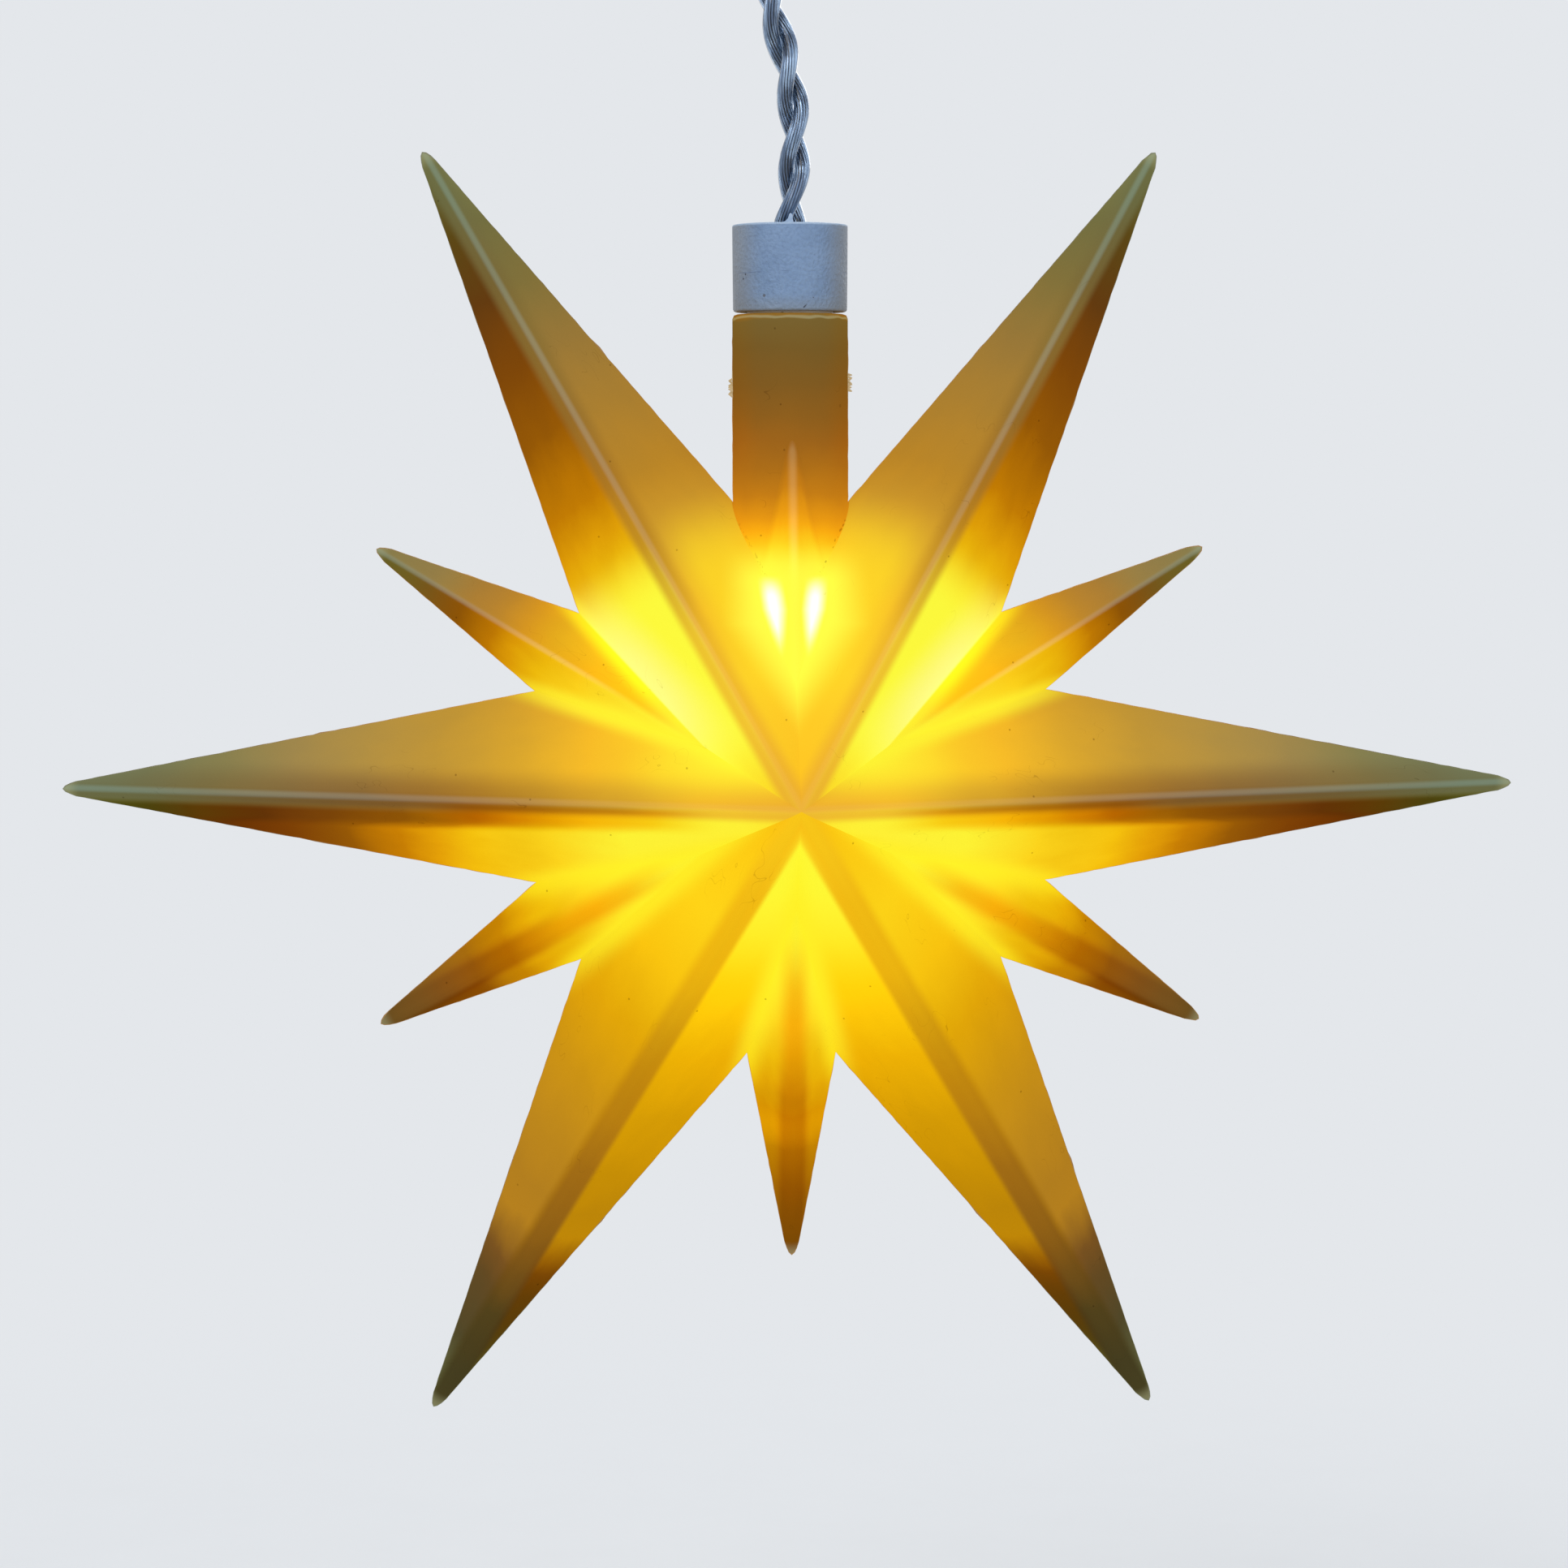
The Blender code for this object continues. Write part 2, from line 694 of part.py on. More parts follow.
def build_boot():
    """The tapered strain relief, ribbed so that it bends evenly."""
    bore = wire_spacing / 2 + wire_radius + boot_bore_gap
    pitch = (boot_length - boot_collar) / boot_ribs
    outline = [(boot_radius_top, 0), (boot_radius_top, -boot_collar)]
    for rib in range(boot_ribs):
        for share, groove in ((0.15, 1), (0.45, 1), (0.6, 0), (1, 0)):
            down = boot_collar + pitch * (rib + share)
            taper = (down - boot_collar) / (boot_length - boot_collar)
            radius = boot_radius_top + (boot_radius_low - boot_radius_top) * taper
            depth = min(boot_groove_depth, (radius - bore) / 2)
            outline.append((radius - groove * depth, -down))
    outline += [(bore, -boot_length), (bore, 0)]
    turned("strain_relief", outline, plug_frame, soft_clear, (0, 0, -boot_top), fine_steps * 3 // 2)


def build_plug():
    """The plug: body, insert with two sockets, seal ring and the wires inside."""
    nose = insert_radius + fine_gap + plug_nose_wall
    collar = nose + plug_collar_rim
    collar_low = plug_nose_length + plug_collar_length
    cavity = insert_radius + fine_gap
    channel = wire_spacing / 2 + wire_radius + boot_bore_gap
    turned(
        "plug_body",
        [(nose - edge_break, -plug_rim_drop), (nose, -plug_rim_drop - edge_break),
         (nose, -plug_nose_length), (collar, -plug_nose_length), (collar, -collar_low),
         (plug_barrel_radius, -collar_low), (plug_barrel_radius, -plug_grip_start),
         (plug_grip_radius, -plug_grip_start - edge_break),
         (plug_grip_radius, -plug_length + plug_tail_length),
         (plug_tail_radius, -plug_length + edge_break),
         (plug_tail_radius - edge_break, -plug_length), (channel, -plug_length),
         (channel, -plug_cavity_depth), (cavity, -plug_cavity_depth), (cavity, -plug_rim_drop)],
        plug_frame, soft_clear,
    )
    insert = round_rod("contact_insert", insert_radius, -insert_length, 0, plug_frame)
    insert.data.materials.append(white)
    key = box(
        "key_cut",
        (-insert_key_width / 2, insert_radius - insert_key_depth, -insert_length - overrun),
        (insert_key_width / 2, insert_radius + overrun, overrun),
        plug_frame, cutters,
    )
    boolean(insert, helper(key), "DIFFERENCE")
    for side, pole in ((1, "positive"), (-1, "negative")):
        across = side * socket_pitch / 2
        hole = round_rod(
            f"socket_hole_{pole}", socket_radius + fine_gap, -insert_length - overrun, overrun,
            plug_frame, across, fine_steps, cutters,
        )
        boolean(insert, helper(hole), "DIFFERENCE")
        foot = -socket_drop - socket_length
        turned(
            f"contact_socket_{pole}",
            [(0, -socket_drop - socket_bore_depth), (socket_bore_radius, -socket_drop - socket_bore_depth),
             (socket_bore_radius, -socket_drop), (socket_radius, -socket_drop),
             (socket_radius, foot), (solder_cup_radius, foot),
             (solder_cup_radius, foot + solder_cup_depth), (0, foot + solder_cup_depth)],
            plug_frame, brass, (across, 0, 0), fine_steps,
        )
        exit_across = side * wire_spacing / 2
        start = foot + solder_cup_depth / 2
        skin = foot - fine_gap
        bend = -plug_cavity_depth + wire_radius
        bare = core_diameter / wire_diameter
        wire(
            f"plug_wire_{pole}",
            [(across, 0, start), (across, 0, skin), (across, 0, skin - fine_gap),
             ((across + exit_across) / 2, 0, (skin + bend) / 2), (exit_across, 0, bend),
             (exit_across, 0, -boot_low)],
            wire_radius, plug_frame, clear_vinyl, [bare, bare, 1, 1, 1, 1],
        )
    section = plug_ring_section / 2
    turned(
        "plug_seal_ring", ring_outline(nose + fine_gap + section, section),
        plug_frame, grey_rubber, (0, 0, -plug_nose_length + fine_gap + section), fine_steps * 3 // 2,
    )
    return collar, collar_low


def build_nut(collar, collar_low):
    """The fluted nut that turns on the plug's barrel, held in front by its collar."""
    bore = collar + nut_bore_gap
    radius = bore + nut_wall
    flange_top = collar_low + seat_gap
    foot = flange_top + nut_flange_length
    rear_bore = plug_barrel_radius + nut_flange_gap
    nut = turned(
        "coupling_nut",
        [(radius - edge_break, -nut_drop), (radius, -nut_drop - edge_break),
         (radius, -foot + edge_break), (radius - edge_break, -foot), (rear_bore, -foot),
         (rear_bore, -flange_top), (bore, -flange_top), (bore, -nut_drop)],
        plug_frame, white, steps=turned_steps * 3 // 2,
    )
    bm = bmesh.new()
    low, high = -foot - overrun, -nut_drop - nut_rim_length
    for number in range(nut_flutes):
        turn = 2 * pi * number / nut_flutes
        out = radius + nut_flute_radius * nut_flute_share
        bmesh.ops.create_cone(
            bm, cap_ends=True, segments=flute_steps, radius1=nut_flute_radius,
            radius2=nut_flute_radius, depth=high - low,
            matrix=Matrix.Translation((out * cos(turn), out * sin(turn), (low + high) / 2)),
        )
    flutes = add("flute_cuts", mesh_from("flute_cuts", bm), plug_frame, collection=cutters)
    boolean(nut, helper(flutes), "DIFFERENCE")


clear_scene()
parts = new_collection("led_christmas_star")
cutters = new_collection("cutters", hidden=True)
plug_frame = empty("plug_frame", 0)
star_frame = empty("star_frame", -hang_height, plug_frame)

yellow = material("yellow_translucent_plastic", (0.95, 0.62, 0.05), 0.32, transmission=0.35)
white = material("white_plastic", (0.80, 0.83, 0.86), 0.45)
grey_rubber = material("grey_rubber", (0.16, 0.16, 0.17), 0.7)
clear_epoxy = material("clear_epoxy", (0.95, 0.95, 0.92), 0.08, transmission=0.9)
phosphor = material("phosphor", (0.95, 0.85, 0.25), 0.6)
tinned = material("tinned_steel", (0.72, 0.73, 0.75), 0.3, 1.0)
solder = material("solder", (0.62, 0.63, 0.65), 0.35, 1.0)
ceramic = material("resistor_lacquer", (0.72, 0.55, 0.35), 0.4)
sleeve_black = material("heat_shrink", (0.03, 0.03, 0.03), 0.5)
clear_vinyl = material("clear_vinyl", (0.70, 0.74, 0.78), 0.2, transmission=0.7)
soft_clear = material("milky_vinyl", (0.82, 0.84, 0.86), 0.4, transmission=0.2)
brass = material("brass", (0.78, 0.60, 0.28), 0.3, 1.0)

build_star()
build_cap()
build_carrier()
build_led()
build_wiring()
build_lead()
build_boot()
collar_radius, collar_bottom = build_plug()
build_nut(collar_radius, collar_bottom)
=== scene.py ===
"""Looks of a hanging Christmas star: a hollow moulded star lit by one LED in a capped lamp holder,
on a twisted low-voltage lead with a screw-nut plug. Lengths are in metres, +Z is up and the star
faces -Y. Zero is the mating face of the plug, where the star hangs from."""

import json
from functools import partialmethod
from math import cos, pi, radians, sin, sqrt, tan

import bmesh
import bpy
from mathutils import Matrix, Vector, noise

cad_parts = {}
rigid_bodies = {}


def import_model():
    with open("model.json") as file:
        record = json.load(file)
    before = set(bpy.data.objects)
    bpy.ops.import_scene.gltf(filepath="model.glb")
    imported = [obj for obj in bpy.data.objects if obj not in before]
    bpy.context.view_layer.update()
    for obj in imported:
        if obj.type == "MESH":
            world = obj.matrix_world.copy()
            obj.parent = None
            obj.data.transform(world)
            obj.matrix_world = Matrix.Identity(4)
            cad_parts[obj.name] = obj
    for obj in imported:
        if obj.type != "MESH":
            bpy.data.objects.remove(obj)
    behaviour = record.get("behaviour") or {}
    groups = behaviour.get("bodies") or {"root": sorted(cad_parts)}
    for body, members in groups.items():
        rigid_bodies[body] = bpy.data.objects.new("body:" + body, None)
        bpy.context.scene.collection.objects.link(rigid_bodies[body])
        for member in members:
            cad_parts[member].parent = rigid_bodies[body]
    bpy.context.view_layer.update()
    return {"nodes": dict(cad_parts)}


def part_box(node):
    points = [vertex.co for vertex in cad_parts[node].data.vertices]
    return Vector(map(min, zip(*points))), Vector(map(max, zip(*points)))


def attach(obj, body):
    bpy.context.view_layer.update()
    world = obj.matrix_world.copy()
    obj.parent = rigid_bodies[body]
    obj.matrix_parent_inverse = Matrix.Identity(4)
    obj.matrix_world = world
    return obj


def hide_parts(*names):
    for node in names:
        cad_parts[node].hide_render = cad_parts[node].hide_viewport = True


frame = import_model()


# Camera: a long lens a little above the star's middle, at the photograph's angle.
star_height = -0.10905
camera_turn, camera_rise, camera_tilt = radians(-1.835), radians(4.571), radians(0.1)
camera_distance = 0.3343
scene = bpy.context.scene


def placed(name, data, collection=scene.collection):
    """A new object in the scene."""
    obj = bpy.data.objects.new(name, data)
    collection.objects.link(obj)
    return obj


camera_data = bpy.data.cameras.new("camera")
camera_data.lens, camera_data.sensor_width, camera_data.clip_start = 92.5, 36, 0.01
camera_data.shift_x, camera_data.shift_y = -0.00405, 0.0011
camera = placed("camera", camera_data)
camera.location = (
    camera_distance * sin(camera_turn) * cos(camera_rise),
    -camera_distance * cos(camera_turn) * cos(camera_rise),
    star_height + camera_distance * sin(camera_rise),
)
camera.rotation_euler = (pi / 2 - camera_rise, camera_tilt, camera_turn)
scene.camera = camera


# Lead: a right-handed twisted pair. Each wire is a bundle of fine tinned strands in clear vinyl,
# and the pair leaves the slot in the cap, leans over to the left and goes up into the plug's boot.
exit_height = -0.0629
pair_places = [
    (0, exit_height), (0.00013, -0.0610), (0.00039, -0.0574), (0.00026, -0.0529), (-0.00045, -0.0490),
    (-0.00155, -0.0446), (-0.0020, -0.0399), (-0.00117, -0.0357), (-0.00026, -0.0325), (0, -0.0301),
]
pair_twist = [(0, 200), (0.0020, 270), (0.0125, 630), (0.0233, 990), (0.0335, 1270)]
wire_radius, wire_dip = 0.00066, 0.0004
strand_circle, strand_radius, strand_count, strand_pitch = 0.00034, 0.000082, 11, 0.024


def between(table, where):
    """The value at a place in a table of (place, value) pairs."""
    for (low, first), (high, second) in zip(table, table[1:]):
        if where <= high:
            return first + (second - first) * max(0, (where - low) / (high - low))
    return table[-1][1]


def even_line(places, count):
    """Evenly spread points on a smooth line through the given places, and how far along each is."""
    places = [Vector(place) for place in places]
    ends = [places[0] * 2 - places[1], *places, places[-1] * 2 - places[-2]]
    fine = []
    for before, start, end, after in zip(ends, ends[1:], ends[2:], ends[3:]):
        for number in range(24):
            t = number / 24
            fine.append((start * 2 + (end - before) * t + (before * 2 - start * 5 + end * 4 - after) * t**2
                         + (start * 3 - before - end * 3 + after) * t**3) / 2)
    fine.append(places[-1])
    along = [0]
    for first, second in zip(fine, fine[1:]):
        along.append(along[-1] + (second - first).length)
    spread, at = [], 0
    for number in range(count):
        wanted = along[-1] * number / (count - 1)
        while at < len(along) - 2 and along[at + 1] < wanted:
            at += 1
        share = (wanted - along[at]) / (along[at + 1] - along[at])
        spread.append((fine[at].lerp(fine[at + 1], min(1, share)), wanted))
    return spread


def mesh_of(name, bm):
    """The form as a mesh."""
    mesh = bpy.data.meshes.new(name)
    bm.to_mesh(mesh)
    bm.free()
    return mesh


def form_of(obj, keep=False):
    """The object's shape with its modifiers or bevel applied. The object goes, unless it is kept."""
    bpy.context.view_layer.update()
    graph = bpy.context.evaluated_depsgraph_get()
    mesh = bpy.data.meshes.new_from_object(obj.evaluated_get(graph), depsgraph=graph)
    bm = bmesh.new()
    bm.from_mesh(mesh)
    bpy.data.meshes.remove(mesh)
    if not keep:
        bpy.data.objects.remove(obj)
    return bm


def tubes(lines, radius, roundness):
    """Round rods with closed ends along the given lines, as one form."""
    curve = bpy.data.curves.new("tubes", "CURVE")
    curve.dimensions, curve.use_fill_caps = "3D", True
    curve.bevel_depth, curve.bevel_resolution = radius, roundness
    for line in lines:
        spline = curve.splines.new("POLY")
        spline.points.add(len(line) - 1)
        for point, place in zip(spline.points, line):
            point.co = (*place, 1)
    bm = form_of(placed("tubes", curve))
    bmesh.ops.remove_doubles(bm, verts=bm.verts, dist=1e-7)
    bmesh.ops.recalc_face_normals(bm, faces=bm.faces)
    return bm


def piece(name, bm, look, body, nodes, sharp):
    """Makes the finished object: its mesh, smooth faces, material and body, and hides the CAD nodes it
    replaces.
    """
    mesh = mesh_of(name, bm)
    obj = placed(name, mesh)
    mesh.shade_smooth()
    mesh.set_sharp_from_angle(angle=radians(sharp))
    obj.modifiers.new("even_faces", "WEIGHTED_NORMAL").keep_sharp = True
    for material in look if isinstance(look, list) else [look]:
        mesh.materials.append(material)
    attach(obj, body)
    if nodes:
        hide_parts(*nodes)
    return obj


def tint(*colour):
    """A colour from 0 to 255, as it looks, as the plain light amounts that materials use."""
    plain = [part / 3294.6 if part <= 10 else ((part / 255 + 0.055) / 1.055) ** 2.4 for part in colour]
    return (*plain, 1)


class Value:
    """An output of a node in a material, to reckon with as if it were a number."""

    def __init__(self, node, output=0):
        self.tree, self.socket = node.id_data, node.outputs[output]

    def calc(self, operation, *others, clamp=False):
        return Value(add(self.tree, "Math", self, *others, operation=operation, use_clamp=clamp))

    def __rsub__(self, other):
        return Value(add(self.tree, "Math", other, self, operation="SUBTRACT"))

    __add__, __sub__ = partialmethod(calc, "ADD"), partialmethod(calc, "SUBTRACT")
    __mul__, __truediv__ = partialmethod(calc, "MULTIPLY"), partialmethod(calc, "DIVIDE")
    __abs__ = partialmethod(calc, "ABSOLUTE")


def feed(node, *values, **words):
    """Fills a node in: values go to its sockets in order, words with a capital to the sockets with
    those names, and other words are its settings."""
    for word in [word for word in words if word.islower()]:
        setattr(node, word, words.pop(word))
    named = [(node.inputs[word.replace("_", " ")], value) for word, value in words.items()]
    for socket, value in [*zip(node.inputs, values), *named]:
        if isinstance(value, Value):
            node.id_data.links.new(value.socket, socket)
        elif value is not None:
            socket.default_value = value
    return node


def add(tree, kind, *values, **words):
    """A new node, filled in."""
    return feed(tree.nodes.new("ShaderNode" + kind), *values, **words)


def new_finish(name, colour, roughness, **plain):
    """A material, its shader and its object coordinates. Words in plain are the shader's sockets."""
    material = bpy.data.materials.new(name)
    material.use_nodes = True
    tree = material.node_tree
    shader = feed(tree.nodes["Principled BSDF"], Base_Color=colour, Roughness=roughness, **plain)
    return material, shader, Value(add(tree, "TexCoord"), "Object")


def fade(value, start, end, low=0.0, high=1.0):
    """Goes softly from low to high as the value goes from start to end."""
    return Value(add(value.tree, "MapRange", Value=value, From_Min=start, From_Max=end, To_Min=low,
                     To_Max=high, interpolation_type="SMOOTHSTEP"), "Result")


def mixed(share, first, second, way="MIX"):
    """Two colours mixed by a share. Each colour is a tint or a Value."""
    tree = next(part.tree for part in (share, first, second) if isinstance(part, Value))
    other_types = [None] * 5
    return Value(add(tree, "Mix", share, *other_types, first, second, data_type="RGBA", blend_type=way), 2)


def grain(place, scale, detail=2.0, stretch=None):
    """A noise pattern, from 0 to 1, finer with a higher scale."""
    if stretch:
        place = Value(add(place.tree, "Mapping", place, Scale=stretch))
    return Value(add(place.tree, "TexNoise", place, Scale=scale, Detail=detail), "Fac")


def relief(shader, height, depth, strength=1.0):
    """Turns a pattern into a surface relief of the given depth."""
    bump = add(shader.id_data, "Bump", Height=height, Distance=depth, Strength=strength)
    feed(shader, Normal=Value(bump))


def vinyl_finish():
    """Clear flexible insulation: faintly blue, with drawing lines along it, a waxy sheen and painted shade
    at its outline.
    """
    material, shader, place = new_finish(
        "clear_insulation", tint(236, 243, 250), 0.05, Transmission_Weight=1.0, IOR=1.45)
    clouds = grain(place, 260, 3)
    edge = Value(add(material.node_tree, "LayerWeight", Blend=0.5), "Facing")
    base = mixed(fade(clouds, 0.35, 0.7), tint(224, 233, 243), tint(208, 220, 234))
    # Painted shade: the colour turns dark blue-grey where the surface is seen edge on.
    feed(shader, Base_Color=mixed(fade(edge, 0.62, 0.95), base, tint(100, 116, 138)),
         Roughness=fade(clouds, 0.3, 0.75, 0.02, 0.07))
    relief(shader, grain(place, 900, stretch=(1, 1, 0.12)), 0.000004)
    return material


def strand_finish():
    """Tinned copper strands: steel blue in the dusk light, with drawn streaks along them."""
    material, shader, place = new_finish("tinned_strands", tint(150, 168, 190), 0.26, Metallic=1.0)
    streaks = grain(place, 1400, stretch=(1, 1, 0.1))
    feed(shader, Base_Color=mixed(fade(streaks, 0.38, 0.66), tint(180, 197, 216), tint(112, 130, 154)),
         Roughness=fade(streaks, 0.3, 0.7, 0.2, 0.34))
    return material


def gap_finish():
    """The strands deeper in the bundle, in painted shade, seen as dark lines between the outer ones."""
    material, shader, place = new_finish("shaded_inner_strands", tint(52, 60, 72), 0.5, Metallic=0.6)
    streaks = grain(place, 1400, stretch=(1, 1, 0.1))
    feed(shader, Base_Color=mixed(streaks, tint(34, 40, 50), tint(60, 70, 84)))
    return material


clear_insulation, tinned_strands, shaded_inner_strands = vinyl_finish(), strand_finish(), gap_finish()
pair_line = even_line([(x, 0, z) for x, z in pair_places], 110)
pair_length = pair_line[-1][1]
spread_at_ends = [(0, 0.00078), (0.0014, wire_radius), (0.0310, wire_radius), (pair_length, 0.00074)]
wire_lines, strand_lines = [], []
for side in (0, 180):
    middle = []
    for place, along in pair_line:
        turn = radians(between(pair_twist, along) + side)
        out = between(spread_at_ends, along)
        middle.append(place + Vector((out * cos(turn), out * sin(turn), 0)))
    middle[0].z -= wire_dip
    wire_lines.append(middle)
    for number in range(strand_count):
        line = []
        for index, (_, along) in enumerate(pair_line):
            ahead = middle[min(index + 1, len(middle) - 1)] - middle[max(index - 1, 0)]
            across = ahead.cross(Vector((0, 1, 0))).normalized()
            up = across.cross(ahead).normalized()
            turn = 2 * pi * (number / strand_count + along / strand_pitch)
            line.append(middle[index] + (across * cos(turn) + up * sin(turn)) * strand_circle)
        strand_lines.append(line)
strand_bm = tubes(strand_lines, strand_radius, 1)
# The dark core under the strands is painted shade between them.
core_bm = tubes(wire_lines, strand_circle - strand_radius * 0.35, 2)
pair_bm = tubes(wire_lines, wire_radius, 4)
for bm, number in ((strand_bm, 1), (core_bm, 2)):
    for face in bm.faces:
        face.material_index = number
    inner = mesh_of("inner", bm)
    pair_bm.from_mesh(inner)
    bpy.data.meshes.remove(inner)
lead_pair = piece("lead_pair", pair_bm, [clear_insulation, tinned_strands, shaded_inner_strands], "lead",
                  ["lead_cord"], sharp=60)


# Room: a pale floor under the hanging star and a plain pale studio round it, with soft lamps
# above, in front and behind. The pale surroundings are seen by the camera, in gloss and in glass.
floor_height, floor_size = -0.2050, 6
floor_middle = (0, -0.05, floor_height)
seen_paleness = tint(228, 231, 235)


def seen_rays(tree):
    """1 where the camera, gloss or glass looks, and 0 for the light that falls on things."""
    rays = add(tree, "LightPath")
    shown = Value(rays, "Is Camera Ray") + Value(rays, "Is Glossy Ray")
    return shown.calc("ADD", Value(rays, "Is Transmission Ray"), clamp=True)


def floor_finish():
    """Smooth pale board that fades, far from the star, into the paleness round it."""
    material, shader, place = new_finish("pale_floor", tint(238, 240, 243), 0.85, Specular_IOR_Level=0.1)
    tree = material.node_tree
    feed(shader, Base_Color=mixed(grain(place, 90, 3), tint(240, 242, 245), tint(236, 238, 241)))
    far = Value(add(tree, "VectorMath", place, floor_middle, operation="DISTANCE"), "Value")
    glow = add(tree, "Emission", Color=seen_paleness)
    blend = add(tree, "MixShader", fade(far, 0.10, 0.32) * seen_rays(tree), Value(shader), Value(glow))
    feed(tree.nodes["Material Output"], Surface=Value(blend))
    return material


floor_bm = bmesh.new()
bmesh.ops.create_grid(floor_bm, x_segments=1, y_segments=1, size=floor_size)
bmesh.ops.translate(floor_bm, verts=floor_bm.verts, vec=(0, 0, floor_height))
floor = placed("floor", mesh_of("floor", floor_bm))
floor.data.materials.append(floor_finish())

world = bpy.data.worlds.new("studio")
scene.world = world
world.use_nodes = True
air = world.node_tree
air.nodes.clear()
seen = add(air, "Background", Color=seen_paleness)
lighting = add(air, "Background", Color=(0.94, 0.97, 1.0, 1), Strength=0.55)
either = add(air, "MixShader", seen_rays(air), Value(lighting), Value(seen))
add(air, "OutputWorld", Value(either))

for name, place, size, power, colour in (
        ("key_lamp", (-0.45, -0.65, 0.45), 0.6, 2.6, (1, 1, 1)),
        ("fill_lamp", (0.70, -0.55, 0.10), 0.6, 1.0, (0.96, 0.98, 1)),
        ("top_lamp", (0.05, 0.05, 0.75), 0.5, 1.2, (0.92, 0.97, 1)),
        ("back_lamp", (0.25, 0.80, 0.25), 0.5, 1.6, (1, 1, 1))):
    data = bpy.data.lights.new(name, "AREA")
    data.size, data.energy, data.color = size, power, colour
    lamp = placed(name, data)
    lamp.location = place
    lamp.rotation_euler = (Vector((0, 0, star_height)) - lamp.location).to_track_quat("-Z", "Y").to_euler()


# Star: blow-moulded in one piece from translucent amber plastic, hollow, with a neck that pushes
# over the lamp holder's seal ring. Six long and six short four-sided arms run through each other,
# their ridges rounded. The lamp inside makes the faces glow, from pale yellow to amber and brown.
long_reach, short_reach = 0.0600, 0.0393
arm_depth, arm_half_angle = 0.0250, radians(11)
ridge_radius, ridge_steps, tip_crown_share = 0.0006, 6, 0.70
star_wall = 0.0009
neck_top, neck_root, neck_radius, neck_bore = 0.03885, 0.0140, 0.00474, 0.00384
neck_round, bore_top = 0.00035, 0.0410
arm_slope, arm_spread = arm_depth / long_reach, tan(arm_half_angle)
face_normal = Vector((arm_slope, 1, arm_slope / arm_spread))
ridge_cut = ridge_radius * tan(face_normal.angle(face_normal * Vector((1, 1, -1))) / 2)
outline_cut = ridge_radius * tan(face_normal.angle(face_normal * Vector((1, -1, 1))) / 2)
ridge_way = Vector((1, -arm_slope, 0)).normalized()
outline_way = Vector((1, 0, -arm_spread)).normalized()
tip_loss = ((outline_cut * ridge_way.x + ridge_cut * outline_way.x) / sin(ridge_way.angle(outline_way))
            * tip_crown_share)
wall_loss = star_wall * face_normal.length / arm_slope


def linked(name, bm, *collection):
    """Puts a raw form in the scene as an object."""
    bmesh.ops.recalc_face_normals(bm, faces=bm.faces)
    return placed(name, mesh_of(name, bm), *collection)


def arms(name, long_arm, short_arm, rounded, collection):
    """Opposite arms as one eight-sided form each: three long ones and three short ones between."""
    made = []
    for number in range(6):
        reach = long_arm if number % 2 == 0 else short_arm
        bm = bmesh.new()
        bmesh.ops.create_uvsphere(bm, u_segments=4, v_segments=2, radius=1)
        bmesh.ops.scale(bm, verts=bm.verts, vec=(reach, reach * arm_slope, reach * arm_spread))
        weight = bm.edges.layers.float.new("bevel_weight_edge")
        for edge in bm.edges:
            if any(abs(end.co.x) > reach / 2 for end in edge.verts):
                on_ridge = any(abs(end.co.y) > reach * arm_slope / 2 for end in edge.verts)
                edge[weight] = 1 if on_ridge else outline_cut / ridge_cut
        turn = Matrix.Rotation(pi * number / 6, 3, "Y")
        bmesh.ops.rotate(bm, verts=bm.verts, cent=(0, 0, 0), matrix=turn)
        obj = linked(f"{name}_{number}", bm, collection)
        if rounded:
            bevel = obj.modifiers.new("ridges", "BEVEL")
            bevel.limit_method, bevel.use_clamp_overlap = "WEIGHT", False
            bevel.width, bevel.segments = ridge_cut, ridge_steps
        made.append(obj)
    return made


def turned_form(outline, steps=96):
    """A form turned round the vertical axis. Its (radius, height) outline runs down the outer side,
    and makes a solid if it starts and ends on the axis, or else a ring."""
    bm = bmesh.new()
    points = [bm.verts.new((radius, 0, height)) for radius, height in outline]
    edges = [bm.edges.new(pair) for pair in zip(points, points[1:])]
    if outline[0][0] > 0 or outline[-1][0] > 0:
        edges.append(bm.edges.new((points[-1], points[0])))
    bmesh.ops.spin(bm, geom=points + edges, cent=(0, 0, 0), axis=(0, 0, 1), angle=2 * pi, steps=steps,
                   use_merge=True)
    bmesh.ops.remove_doubles(bm, verts=bm.verts, dist=1e-7)
    bmesh.ops.recalc_face_normals(bm, faces=bm.faces)
    return bm


def join(obj, other, operation):
    """Joins a form, or a collection of them, to the object or cuts it away."""
    step = obj.modifiers.new(operation.lower(), "BOOLEAN")
    step.operation, step.solver = operation, "EXACT"
    if isinstance(other, bpy.types.Collection):
        step.operand_type, step.collection = "COLLECTION", other
    else:
        step.object = other


outer_forms, inner_forms = [bpy.data.collections.new(name) for name in ("outer_forms", "inner_forms")]
for forms in (outer_forms, inner_forms):
    scene.collection.children.link(forms)
long_outside, short_outside = long_reach + tip_loss, short_reach + tip_loss
outer_arms = arms("arm", long_outside, short_outside, True, outer_forms)
inner_arms = arms("hollow", long_outside - wall_loss, short_outside - wall_loss, False, inner_forms)
linked("neck_form", turned_form([
    (0, neck_top - 0.00004), (neck_bore, neck_top), (neck_radius - neck_round, neck_top),
    (neck_radius - 0.00012, neck_top - 0.00008), (neck_radius, neck_top - neck_round),
    (neck_radius, neck_root), (0, neck_root)], 72), outer_forms)
linked("bore_form", turned_form(
    [(0, bore_top), (neck_bore, bore_top), (neck_bore, neck_root), (0, neck_root)], 72), inner_forms)
star_form, hollow_form = outer_arms[0], inner_arms[0]
for obj, forms in ((star_form, outer_forms), (hollow_form, inner_forms)):
    forms.objects.unlink(obj)
    scene.collection.objects.link(obj)
    join(obj, forms, "UNION")
outline_form = form_of(star_form, keep=True)
